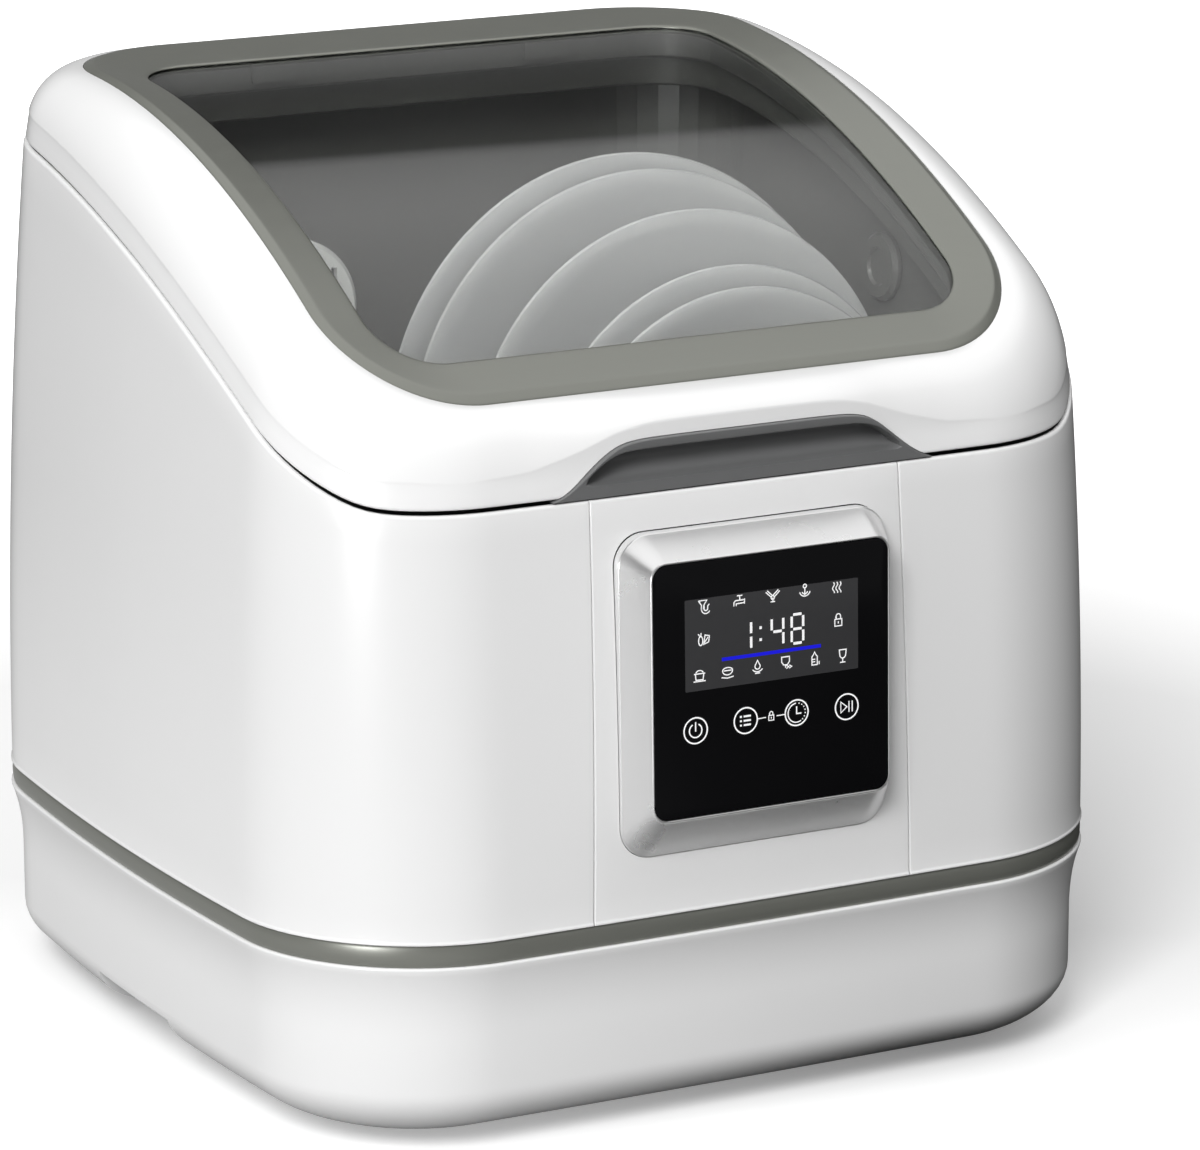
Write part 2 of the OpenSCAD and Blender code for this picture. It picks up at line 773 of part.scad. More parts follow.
// ---- Sump, filter and water path ----
sump_wall = 2.5;
sump_flange = 8;
sump_foot = 8;
sump_slope = 10;
plate_lap = 5;
sump_z = tub_floor - sump_depth;
suction_port = [36, -34];
drain_port = [-36, -34];
filter_cx = 0;
filter_cy = -46;
plate_t = 1.5;
collar_r = pipe_r + 3;
module sump() {
    top = tub_floor - tub_t;
    color("slategray") difference() {
        translate([0, -sump_shift, 0]) rotate_extrude($fn = round_fn) polygon([
            [0, sump_z], [sump_r - sump_foot, sump_z], [sump_r + sump_wall, sump_z + sump_slope],
                [sump_r + sump_wall, top - wall],
            [sump_r + sump_flange, top - wall], [sump_r + sump_flange, top], [sump_r, top],
            [sump_r, sump_z + sump_slope + 1], [sump_r - sump_foot - 1, sump_z + sump_wall],
            [0, sump_z + sump_wall]
        ]);
        translate([0, 0, sump_z - 1]) cylinder(r = pipe_r + bore_fit, h = cut_run, $fn = round_fn);
        for (p = [suction_port, drain_port])
            translate([p.x, p.y, sump_z - 1]) cylinder(r = pipe_r + bore_fit, h = cut_run, $fn = round_fn);
    }
}

module filter_plate() {
    color("silver") difference() {
        translate([0, -sump_shift, tub_floor])
            cylinder(r = sump_r + plate_lap, h = plate_t, $fn = round_fn);
        translate([0, 0, tub_floor - 1]) cylinder(r = collar_r + seat_gap, h = cut_run, $fn = round_fn);
        translate([filter_cx, filter_cy, tub_floor - 1])
            cylinder(r = filter_r + seat_gap, h = cut_run, $fn = round_fn);
    }
}

cup_depth = 28;
cup_t = 1.5;
cup_rim = 3;
mesh_low = 5;
mesh_w = 6;
mesh_h = 16;
module filter_cup() {
    base = tub_floor - cup_depth;
    rim = tub_floor + plate_t + seat_gap;
    color("lightgray") translate([filter_cx, filter_cy, 0]) difference() {
        union() {
            translate([0, 0, base]) cylinder(r = filter_r, h = rim - base + 2, $fn = round_fn);
            translate([0, 0, rim]) cylinder(r = filter_r + cup_rim, h = 2, $fn = round_fn);
        }
        translate([0, 0, base + cup_t]) cylinder(r = filter_r - cup_t, h = 2 * cup_depth, $fn = round_fn);
        for (a = [0 : 45 : 359]) rotate([0, 0, a]) translate([filter_r / 2, -mesh_w / 2, base + mesh_low])
            cube([filter_r, mesh_w, mesh_h]);
    }
}

heater_lift = 3;
heater_z = tub_floor + heater_tube + heater_lift;
module heater() {
    color("silver") {
        translate([0, 0, heater_z]) rotate([0, 0, 90 + leg_angle])
            rotate_extrude(angle = 360 - 2 * leg_angle, $fn = 96)
            translate([heater_r, 0]) circle(heater_tube, $fn = 32);
        heater_legs(heater_tube - leg_slim, heater_z - tub_floor + leg_drop);
    }
}

pump_x = 96;
pump_z = 48;
pump_half = 16;
outlet_z = 66;
pump_t = 3;
stub_t = 2.5;
stub_in = 6;
stub_out = 8;
blade_step = 60;
foot_inset = 6;
foot_end = 8;
foot_block_h = 20;
disc_t = 3;
shaft_r = 4;
impeller_r = 24;
impeller_half = 9;
pump_edge = pump_x - sqrt(pump_r * pump_r - pow(outlet_z - pump_z, 2));
module wash_pump_housing() {
    color("dimgray") difference() {
        union() {
            translate([pump_x, -pump_half, pump_z]) along_y()
                cylinder(r = pump_r, h = 2 * pump_half, $fn = round_fn);
            rod([pump_edge - stub_in, 0, outlet_z], [pump_edge + stub_out, 0, outlet_z], pipe_r + stub_t);
            rod([pump_x, -pump_half - stub_in, pump_z],
                [pump_x, -pump_half + 1, pump_z], pipe_r + stub_t);
        }
        translate([pump_x, -pump_half + pump_t, pump_z]) along_y()
            cylinder(r = pump_r - pump_t, h = 2 * (pump_half - pump_t), $fn = round_fn);
        rod([pump_edge - stub_in - 1, 0, outlet_z], [pump_edge + stub_out + 2, 0, outlet_z],
            pipe_r + bore_fit);
        rod([pump_x, -pump_half - stub_in - 1, pump_z],
            [pump_x, -pump_half + pump_t + 1, pump_z], pipe_r + bore_fit);
        translate([pump_x, 0, pump_z]) along_y()
            cylinder(r = shaft_r + shaft_slack, h = pump_half + 1, $fn = round_fn);
    }
}

shaft_in = 12;
module wash_pump_motor() {
    color("darkslategray") difference() {
        union() {
            translate([pump_x, pump_half, pump_z]) along_y()
                cylinder(r = motor_r, h = motor_len, $fn = round_fn);
            translate([pump_x - motor_r + foot_inset, pump_half + foot_end, foot_h + wall + rest_gap])
                cube([2 * (motor_r - foot_inset), motor_len - 2 * foot_end, foot_block_h]);
        }
        translate([pump_x, pump_half - 1, pump_z]) along_y()
            cylinder(r = shaft_r + run_fit, h = shaft_in + 2, $fn = round_fn);
    }
}

module wash_impeller() {
    color("lightgray") translate([pump_x, -impeller_half, pump_z]) along_y() {
        cylinder(r = impeller_r, h = disc_t, $fn = round_fn);
        cylinder(r = shaft_r, h = impeller_half + pump_half + shaft_in, $fn = round_fn);
        for (a = [0 : blade_step : 359]) rotate([0, 0, a]) translate([shaft_r - 1, -1, 0])
            cube([impeller_r - shaft_r - 1, 2, 2 * impeller_half]);
    }
}

drain_cx = drain_x;
drain_z = 40;
drain_y = -46;
drain_len = 24;
drain_mid = drain_y + drain_len / 2;
hose_r = 8;
hose_z = 76;
drain_shaft = 3;
drain_rise = 6;
shaft_slack = 0.5;
module drain_pump_housing() {
    color("dimgray") difference() {
        union() {
            translate([drain_cx, drain_y, drain_z]) along_y()
                cylinder(r = drain_r, h = drain_len, $fn = round_fn);
            rod([drain_cx + drain_r / 2, drain_mid, drain_z],
                [drain_cx + drain_r + stub_out, drain_mid, drain_z], pipe_r + stub_t);
            rod([drain_cx, drain_mid, drain_z + drain_r / 2],
                [drain_cx, drain_mid, drain_z + drain_r + drain_rise], hose_r + stub_t);
        }
        translate([drain_cx, drain_y + pump_t, drain_z]) along_y()
            cylinder(r = drain_r - pump_t, h = drain_len - 2 * pump_t, $fn = round_fn);
        rod([drain_cx, drain_mid, drain_z], [drain_cx + drain_r + stub_out + 1, drain_mid, drain_z],
            pipe_r + bore_fit);
        rod([drain_cx, drain_mid, drain_z], [drain_cx, drain_mid, drain_z + drain_r + drain_rise + 2],
            hose_r + bore_fit);
        translate([drain_cx, drain_mid, drain_z]) along_y()
            cylinder(r = drain_shaft + shaft_slack, h = drain_len, $fn = round_fn);
    }
}

drain_motor_len = 42;
shaft_hole = 8;
block_w = 20;
block_h = 18;
blade_gap = 3;
module drain_pump_motor() {
    color("darkslategray") difference() {
        union() {
            translate([drain_cx, drain_y + drain_len, drain_z]) along_y()
                cylinder(r = drain_r - pump_t, h = drain_motor_len, $fn = round_fn);
            translate([
                drain_cx - block_w / 2, drain_y + drain_len + foot_end / 2, foot_h + wall + rest_gap
            ])
                cube([block_w, drain_motor_len - foot_end, block_h]);
        }
        translate([drain_cx, drain_y + drain_len - 1, drain_z]) along_y()
            cylinder(r = drain_shaft + run_fit, h = shaft_hole + 2, $fn = round_fn);
    }
}

module drain_impeller() {
    reach = drain_r - pump_t - blade_gap;
    color("lightgray") translate([drain_cx, drain_y + pump_t + blade_gap, drain_z]) along_y() {
        cylinder(r = drain_shaft, h = drain_len - pump_t - blade_gap + shaft_hole, $fn = round_fn);
        for (a = [0 : 90 : 270]) rotate([0, 0, a]) translate([0, -1, 0])
            cube([reach, 2, drain_len - 2 * (pump_t + blade_gap)]);
    }
}

pipe_t = 1.5;
pipe_top = tub_floor + plate_t + 1;
module supply_pipe() {
    color("silver") hose([[pump_edge - 1, 0, outlet_z], [0, 0, outlet_z],
        [0, 0, pipe_top]], pipe_r, pipe_t);
}

module suction_pipe() {
    p = suction_port;
    color("dimgray") hose([
        [pump_x, -pump_half, pump_z], [pump_x, p.y, pump_z], [p.x, p.y, pump_z], [p.x, p.y, sump_z + 1]
    ], pipe_r, pipe_t);
}

module drain_pipe() {
    p = drain_port;
    color("dimgray") hose([
        [drain_cx + drain_r + 2, drain_mid, drain_z], [p.x, p.y, drain_z], [p.x, p.y, sump_z + 1]
    ], pipe_r, pipe_t);
}

port_out = 5;
hose_bend = 30;
module drain_hose() {
    color("dimgray") hose([
        [drain_cx, drain_mid, drain_z + drain_r + 1], [drain_cx, drain_mid, hose_z],
        [drain_x, rear_wall_y - hose_bend, hose_z], [drain_x, rear_wall_y - hose_bend, port_z],
        [drain_x, rear_wall_y - wall - collar_t - outlet_gap - seat_gap, port_z]
    ], hose_r, pipe_t);
}

spigot_out = 4.8;
nose = 0.2;
collar_t = 1.6;
neck_l = 12;
collar_out = 3;
bore_back = wall + neck_l + 1;
// Gap of the outlet's inner collar, which clears the bow of the rear wall
outlet_gap = seat_gap + front_bow * pow((abs(drain_x) + port_r + collar_out) / half_w, 2);
module drain_outlet() {
    color("dimgray") translate([drain_x, rear_wall_y, port_z]) along_y() difference() {
        union() {
            translate([0, 0, -wall - neck_l])
                cylinder(r = hose_r - pipe_t - bore_fit, h = neck_l + 2, $fn = round_fn);
            translate([0, 0, -wall - collar_t - outlet_gap])
                cylinder(r = port_r + collar_out, h = collar_t, $fn = round_fn);
            translate([0, 0, -wall - outlet_gap - 0.5])
                cylinder(r = port_r, h = wall + outlet_gap + 0.5 + nose, $fn = round_fn);
            translate([0, 0, nose]) cylinder(r = hose_r, h = spigot_out, $fn = round_fn);
        }
        translate([0, 0, -bore_back])
            cylinder(r = hose_r - 2 * pipe_t - 0.5, h = 2 * bore_back + nose, $fn = round_fn);
    }
}

valve_len = 40;
valve_r = 17;
valve_back = 25;
valve_rise = 30;
valve_bore = 8;
coil_w = 24;
coil_d = 20;
coil_h = 30;
coil_back = 38;
coil_lift = 8;
valve_in = 3;
module fill_valve() {
    color("darkslategray") difference() {
        union() {
            translate([valve_x, rear_wall_y - wall - 2 - valve_len, port_z]) along_y()
                cylinder(r = valve_r, h = valve_len, $fn = round_fn);
            translate([valve_x, rear_wall_y - wall - valve_in, port_z]) along_y()
                cylinder(r = valve_port_r, h = wall + valve_in + nose, $fn = round_fn);
            translate([valve_x, rear_wall_y + nose, port_z]) along_y()
                cylinder(r = valve_port_r - 1, h = spigot_out, $fn = round_fn);
            rod([valve_x, rear_wall_y - valve_back, port_z],
                [valve_x, rear_wall_y - valve_back, port_z + valve_rise], pipe_r);
            translate([valve_x - coil_w / 2, rear_wall_y - coil_back, foot_h + wall + coil_lift])
                cube([coil_w, coil_d, coil_h]);
        }
        translate([valve_x, rear_wall_y - coil_d, port_z]) along_y()
            cylinder(r = valve_bore, h = 2 * coil_d, $fn = round_fn);
    }
}

module fill_hose() {
    y = rear_wall_y - valve_back;
    color("dimgray") hose([
        [valve_x, y, port_z + valve_rise + rest_gap], [valve_x, y, fill_z],
            [valve_x, tub_d - tub_draft + valve_in, fill_z]
    ], pipe_r - 2, pipe_t);
}

gland_bore = 3.5;
gland_in = 5;
gland_collar = 4.5;
module power_gland() {
    color("black") translate([gland_x, rear_wall_y - wall - gland_in, port_z]) along_y() {
        tube(gland_r, gland_bore, wall + gland_in + port_out - 2);
        tube(gland_r + collar_out, gland_bore, gland_collar);
    }
}

board_cx = -20;
board_cy = -106;
board_w = 96;
board_d = 56;
board_h = 40;
board_r = 4;
module power_board() {
    color("dimgray") translate([board_cx, board_cy, foot_h + wall + rest_gap])
        rounded_box(board_w, board_d, board_h, board_r);
}

journal_rise = 10;
journal_z = pipe_top + journal_rise;
arm_gap = 0.3;
cap_lap = 4;
cap_t = 3;
bearing_in = 4;
journal_t = 3;
module spray_bearing() {
    color("darkgray") difference() {
        union() {
            translate([0, 0, pipe_top - bearing_in])
                cylinder(r = collar_r, h = journal_rise + bearing_in, $fn = round_fn);
            translate([0, 0, journal_z - 1])
                cylinder(r = journal_r, h = arm_t + 2 * arm_gap + 2, $fn = round_fn);
            translate([0, 0, journal_z + arm_t + 2 * arm_gap])
                cylinder(r = journal_r + cap_lap, h = cap_t, $fn = round_fn);
        }
        translate([0, 0, pipe_top - bearing_in - 1])
            cylinder(r = pipe_r + bore_fit, h = bearing_in + 1, $fn = round_fn);
        translate([0, 0, pipe_top - bearing_in - 1])
            cylinder(r = journal_r - journal_t, h = bearing_in + journal_rise + 2 + arm_t, $fn = round_fn);
    }
}

jet_r = 1.5;
jet_first = 34;
jet_pitch = 21;
jet_off = 5;
jet_depth = 3;
arm_hub = 9;
module spray_arm() {
    color("silver") translate([0, 0, journal_z + arm_gap]) difference() {
        union() {
            cylinder(r = journal_r + arm_hub, h = arm_t, $fn = round_fn);
            linear_extrude(arm_t) {
                square([2 * (arm_reach - arm_w / 2), arm_w], center = true);
                for (x = [-1, 1]) translate([x * (arm_reach - arm_w / 2), 0])
                    circle(arm_w / 2, $fn = round_fn);
            }
        }
        translate([0, 0, -1]) cylinder(r = journal_r + run_fit, h = arm_t + 2, $fn = round_fn);
        for (side = [-1, 1], i = [0 : 4])
            translate([side * (jet_first + i * jet_pitch), side * (i % 2 == 0 ? jet_off : -jet_off),
                arm_t - jet_depth])
                cylinder(r = jet_r, h = jet_depth + 2, $fn = 24);
    }
}

// ---- Drying fan between the tub and the rear panel ----
fan_in = 37.5;
fan_y = half_d - fan_in;
post_r = 4;
// Gap of the fan's two posts to the middle of the rear panel, which bows away towards its sides
post_gap = seat_gap + front_bow * pow((abs(fan_x) + fan_side / 2) / half_w, 2);
hub_r = 12;
rotor_shaft = 3;
post_in = 6;
ring_w = 4;
spoke_w = 4;
back_t = 4;
module fan_housing() {
    color("dimgray") translate([fan_x, fan_y, fan_z]) along_y() difference() {
        union() {
            translate([-fan_side / 2, -fan_side / 2, 0]) cube([fan_side, fan_side, fan_t]);
            for (x = [-1, 1]) translate([x * (fan_side / 2 - post_in), 0, fan_t])
                cylinder(r = post_r, h = half_d - draw(fan_z + post_r) - wall - post_gap - fan_y - fan_t,
                    $fn = round_fn);
        }
        translate([0, 0, -1]) cylinder(r = fan_side / 2 - ring_w, h = fan_t - 2, $fn = round_fn);
        difference() {
            translate([0, 0, fan_t - back_t])
                cylinder(r = fan_side / 2 - ring_w, h = back_t + 2, $fn = round_fn);
            translate([0, 0, fan_t - back_t]) cylinder(r = hub_r, h = back_t + 2, $fn = round_fn);
            for (i = [0 : 2]) rotate([0, 0, i * 360 / 3]) translate([-spoke_w / 2, 0, fan_t - back_t])
                cube([spoke_w, fan_side / 2, back_t]);
        }
        translate([0, 0, fan_t - back_t - 1])
            cylinder(r = rotor_shaft + run_fit, h = back_t - 0.5, $fn = round_fn);
    }
}

duct_flange = 2.6;
flange_back = 1.8;
module fan_duct() {
    gap_y = fan_wall_y + tub_t;
    color("dimgray") translate([fan_x, gap_y - 1, fan_z]) along_y() difference() {
        union() {
            cylinder(r = duct_r, h = fan_y - gap_y + 1 - rest_gap, $fn = round_fn);
            translate([0, 0, fan_y - gap_y - flange_back])
                cylinder(r = fan_side / 2 - 1, h = duct_flange, $fn = round_fn);
        }
        translate([0, 0, -1]) cylinder(r = duct_r - pipe_t, h = fan_y - gap_y + cut_run, $fn = round_fn);
    }
}

blades = 7;
blade_turn = 35;
blade_w = 10;
rotor_room = 7;
module fan_rotor() {
    depth = fan_t - rotor_room;
    color("gray") translate([fan_x, fan_y, fan_z]) along_y() translate([0, 0, 1]) {
        cylinder(r = hub_r, h = depth, $fn = round_fn);
        cylinder(r = rotor_shaft, h = depth + 4, $fn = round_fn);
        for (i = [0 : blades - 1]) rotate([0, 0, i * 360 / blades]) translate([hub_r - 1, 0, depth / 2])
            rotate([blade_turn, 0, 0])
            translate([0, -1, -blade_w / 2]) cube([fan_side / 2 - post_in - hub_r, 2, blade_w]);
    }
}

// ---- Lid ----
hinge_relief = 3.1;
relief_run = 8;
function lid_rim_z(i) =
    let (y = wall_pt(STATIONS[i], SEAM[i]).y)
    SEAM[i] + seam_gap + hinge_relief * min(max((y - hinge_y + relief_run) / relief_run, 0), 1);
function lid_skirt(h, t) = [
    for (i = [0 : COUNT - 1])
        let (p = wall_pt(STATIONS[i], SEAM[i], lid_step + t)) [p.x, p.y, lid_rim_z(i) + h]
];
// Quarter ellipse from the skirt to the window frame, at angle a, for the face at depth t
function lid_crown(a, t) = [
    for (i = [0 : COUNT - 1])
        let (
            p = wall_pt(STATIONS[i], SEAM[i], lid_step + t),
            q = window_pt(STATIONS[i], 0, -2 * t, -t),
            z = lid_rim_z(i) + skirt_h,
            u = 1 - cos(a)
        )
        [mix(p.x, q.x, u), mix(p.y, q.y, u), mix(z, q.z, sin(a))]
];
flange_edge = 0.6;
crown_angles = [0, 15, 30, 45, 60, 75, 90];
lid_section = concat(
    [lid_skirt(0, 0)],
    [for (a = crown_angles) lid_crown(a, 0)],
    [window_ring(0, -wall), window_ring(flange_edge, -wall), window_ring(flange_edge, -2 * wall)],
    [for (i = [len(crown_angles) - 1 : -1 : 0]) lid_crown(crown_angles[i], wall)],
    [lid_skirt(0, wall)]
);

// Space kept free of the lid round each fixed hinge bracket
notch_half = knuckle_w / 2 + ear_t + 2;
notch_r = knuckle_r + 2.2;
notch_depth = 12;
module hinge_notch() {
    for (side = [-1, 1]) translate([side * hinge_x - notch_half, hinge_y, hinge_z]) rotate([0, 90, 0]) {
        cylinder(r = notch_r, h = 2 * notch_half, $fn = round_fn);
        translate([0, -notch_r, 0]) cube([notch_depth, 2 * knuckle_r + notch_depth, 2 * notch_half]);
    }
}

pull_z = seam_z + seam_gap + rest_gap;
pull_r = 9;
sill_h = 5;
module pull_outline(grow) {
    offset(delta = grow) intersection() {
        offset(r = pull_r) offset(delta = -pull_r) polygon([
            [-pull_w - 2 * pull_r, pull_z - 2 * pull_r], [pull_w + 2 * pull_r, pull_z - 2 * pull_r],
            [pull_top_w, pull_z + pull_h], [-pull_top_w, pull_z + pull_h]
        ]);
        translate([-pull_w, pull_z]) square([2 * pull_w, pull_h + 1]);
    }
}
// Prism of the grip's outline through the front of the lid
module pull_prism(grow, back) {
    translate([0, hook_y - back, 0]) rotate([90, 0, 0]) linear_extrude(3 * cut_run) pull_outline(grow);
}

module lid_shell() {
    color("white") difference() {
        skin(lid_section, closed = true);
        hinge_notch();
        pull_prism(seat_gap, 0);
        translate([-pull_w - seat_gap, front_y(seam_z) - cut_run, seam_z])
            cube([2 * (pull_w + seat_gap), cut_run + 2 * wall, sill_h]);
    }
}

liner_gap = 2.6;
liner_t = 2;
liner_edge = 0.6;
liner_rim = 0.95;
liner_low = 0.75;
liner_high = 0.5;
glass_top = wall + seat_gap;
liner_top = glass_top + glass_t + rest_gap;
module lid_liner() {
    color("dimgray") difference() {
        skin([
            seam_ring(lid_step + wall + liner_edge, -liner_gap - hinge_relief),
            seam_ring(lid_step + wall + liner_edge, -liner_gap - hinge_relief - liner_t),
            tub_wall_ring(liner_t, -liner_gap - hinge_relief - liner_t),
            window_ring(liner_low, -liner_top - liner_t), window_ring(liner_high, -liner_top - liner_t),
            window_ring(liner_high, -liner_top), window_ring(liner_rim, -liner_top),
            window_ring(liner_rim, -liner_top - liner_t), tub_wall_ring(-1, -liner_gap)
        ], closed = true);
        hinge_notch();
        translate([-pull_w - 2, -half_d, seam_z])
            cube([2 * pull_w + 4, half_d + hook_y + hook_t + seat_gap, pull_h + pull_r + 1]);
    }
}

frame_gap = 0.01;
frame_foot = 0.6;
frame_near = 0.05;
frame_far = 0.9;
frame_fall = 0.2;
frame_drop = 1.6;
module window_frame() {
    seat = -wall + seat_gap;
    color("gray") skin([
        window_ring(frame_gap, seat), window_ring(frame_gap, frame_foot),
        window_ring(frame_near, frame_proud), window_ring(1 / 2, frame_proud + frame_fall),
        window_ring(frame_far, frame_proud - frame_fall), window_ring(1, frame_proud - frame_drop),
        window_ring(1, seat), window_ring(flange_edge, seat)
    ], closed = true);
}

pane_steps = 24;
glass_edge = 0.72;
pane_over = 5;
module window_glass() {
    w = mix(frame_w, pane_w, glass_edge);
    d = mix(frame_d, pane_d, glass_edge);
    cy = mix(0, pane_mid, glass_edge);
    r = mix(frame_r, pane_r, glass_edge);
    top = [for (i = [0 : pane_steps])
        let (y = cy + (d + pane_over) * (2 * i / pane_steps - 1)) [y, top_z(y) - glass_top]];
    low = [for (i = [pane_steps : -1 : 0]) [top[i].x, top[i].y - glass_t]];
    color("lightblue", 0.4) intersection() {
        translate([-half_w, 0, 0]) rotate([90, 0, 90]) linear_extrude(body_w) polygon(concat(top, low));
        translate([0, cy, seam_z]) linear_extrude(far) rounded_rect(2 * w, 2 * d, r);
    }
}

clip_w = 23;
clip_x = 70;
clip_t = 2.5;
clip_h = 7.5;
module window_clips() {
    edge = window_pt([0, 1, 90], liner_rim, 0).y;
    ceiling = top_z(pane_rear) - liner_top;
    color("black") for (side = [-1, 1])
        translate([side * clip_x - clip_w / 2, edge - seat_gap - clip_t, ceiling - clip_h])
            cube([clip_w, clip_t, clip_h]);
}

grip_proud = 0.4;
grip_lean = 0.6;
grip_back = 2.4;
grip_open = 4.2;
module grip_insert() {
    face = front_y(seam_z) + lid_step - grip_proud;
    color("dimgray") difference() {
        intersection() {
            pull_prism(0, 0);
            rotate([90, 0, 90]) translate([0, 0, -pull_w - 1]) linear_extrude(2 * pull_w + 2) polygon([
                [face, pull_z - 1], [hook_y + 1, pull_z - 1], [hook_y + 1, pull_z + pull_h + 2],
                [face + grip_back, pull_z + pull_h + 2], [face + grip_lean, pull_z + pull_h / 2],
                [face, pull_z + skirt_h]
            ]);
        }
        difference() {
            pull_prism(-pull_rim, 2);
            translate([-far / 2, -half_d, pull_z - 1]) cube([far, body_d, grip_open]);
        }
    }
}

hook_drop = 10;
hook_nose = 1.5;
hook_nose_h = 3;
hook_gap = 0.1;
module lid_hook() {
    color("dimgray") translate([-hook_w / 2, hook_y + hook_gap, seam_z - hook_drop]) {
        cube([hook_w, hook_t, hook_drop + pull_h]);
        cube([hook_w, hook_t + hook_nose, hook_nose_h]);
    }
}

keeper_h = 18;
keeper_t = 3;
keeper_back = 1.5;
module latch_keeper() {
    top = seam_z - flange_drop - rest_gap;
    color("dimgray") difference() {
        translate([-hook_w / 2 - 2 - keeper_t, slot_front - 2, top - keeper_h])
            cube([hook_w + 4 + 2 * keeper_t, slot_rear - slot_front + 2 + keeper_back, keeper_h]);
        translate([-hook_w / 2 - 2, slot_front, top - keeper_h + 2])
            cube([hook_w + 4, slot_rear - slot_front, keeper_h]);
    }
}

// ---- Hinges ----
rear_seam = seam_z + seam_rise;
base_t = 2.5;
ear_back = 3.5;
pin_end = 0.5;
module hinge_bracket(x) {
    foot_z = rear_seam - flange_drop + flange_t;
    inner = knuckle_w / 2 + seat_gap;
    color("silver") translate([x, hinge_y, 0]) difference() {
        union() {
            for (side = [0, 1]) translate([side == 0 ? inner : -inner - ear_t, 0, 0]) {
                translate([0, 0, hinge_z]) rotate([0, 90, 0])
                    cylinder(r = knuckle_r, h = ear_t, $fn = round_fn);
                translate([0, -knuckle_r, foot_z])
                    cube([ear_t, 2 * knuckle_r - ear_back, hinge_z - foot_z]);
            }
            translate([-inner - ear_t, -knuckle_r, foot_z])
                cube([2 * (inner + ear_t), 2 * knuckle_r - ear_back, base_t]);
        }
        translate([-far / 2, 0, hinge_z]) rotate([0, 90, 0])
            cylinder(r = pin_r + run_fit, h = far, $fn = round_fn);
    }
}
module hinge_bracket_left() { hinge_bracket(-hinge_x); }
module hinge_bracket_right() { hinge_bracket(hinge_x); }

module hinge_pin(x) {
    half = knuckle_w / 2 + seat_gap + ear_t + pin_end;
    color("silver") translate([x - half, hinge_y, hinge_z]) rotate([0, 90, 0])
        cylinder(r = pin_r, h = 2 * half, $fn = round_fn);
}
module hinge_pin_left() { hinge_pin(-hinge_x); }
module hinge_pin_right() { hinge_pin(hinge_x); }

arm_near = 20;
arm_far = 36;
arm_thick = 3;
arm_tip = 4;
arm_play = 0.3;
module hinge_arm(x) {
    ceiling = lid_top - 2 * wall - arm_play;
    color("silver") translate([x - knuckle_w / 2, 0, 0]) difference() {
        union() {
            translate([0, hinge_y, hinge_z]) rotate([0, 90, 0])
                cylinder(r = knuckle_r, h = knuckle_w, $fn = round_fn);
            rotate([90, 0, 90]) linear_extrude(knuckle_w) polygon([
                [hinge_y, hinge_z + knuckle_r], [hinge_y - arm_near, ceiling], [hinge_y - arm_far, ceiling],
                [hinge_y - arm_far, ceiling - arm_thick], [hinge_y - arm_near - 2, ceiling - arm_tip],
                [hinge_y - arm_tip, hinge_z - arm_thick]
            ]);
        }
        translate([-1, hinge_y, hinge_z]) rotate([0, 90, 0])
            cylinder(r = pin_r + run_fit, h = knuckle_w + 2, $fn = round_fn);
    }
}
module hinge_arm_left() { hinge_arm(-hinge_x); }
module hinge_arm_right() { hinge_arm(hinge_x); }

// ---- Basket ----
module wire_loop(w, d, r, z, t) {
    for (side = [-1, 1]) {
        translate([side * w, -(d - r), z]) along_y() cylinder(r = t, h = 2 * (d - r), $fn = 32);
        translate([-(w - r), side * d, z]) rotate([0, 90, 0]) cylinder(r = t, h = 2 * (w - r), $fn = 32);
    }
    for (q = [0 : 3]) translate([SIGNS[q].x * (w - r), SIGNS[q].y * (d - r), z]) rotate([0, 0, 90 * q])
        rotate_extrude(angle = 90, $fn = round_fn) translate([r, 0]) circle(t, $fn = 32);
}

weld = 0.3;
upright_pitch = 46;
upright_in = 2 * wire_r - weld;
leg_r = 3;
leg_lift = 1.8;
module basket_frame() {
    top = basket_z + basket_h;
    nx = floor((basket_w - basket_r) / upright_pitch);
    ny = floor((basket_d - basket_r) / upright_pitch);
    color("lightgray") {
        wire_loop(basket_w, basket_d, basket_r, top, rim_r);
        wire_loop(basket_w, basket_d, basket_r, basket_z + basket_h / 2, wire_r);
        wire_loop(basket_w, basket_d, basket_r, basket_z, wire_r);
        for (i = [-nx : nx], side = [-1, 1])
            translate([i * upright_pitch, side * (basket_d - upright_in), basket_z])
            cylinder(r = wire_r, h = basket_h, $fn = 32);
        for (i = [-ny : ny], side = [-1, 1])
            translate([side * (basket_w - upright_in), i * upright_pitch, basket_z])
            cylinder(r = wire_r, h = basket_h, $fn = 32);
        for (x = [-1, 1], y = [-1, 1])
            translate([x * (nx - 0.5) * upright_pitch, y * (basket_d - upright_in), tub_floor + leg_lift])
                cylinder(r = leg_r, h = basket_z - tub_floor, $fn = 32);
    }
}

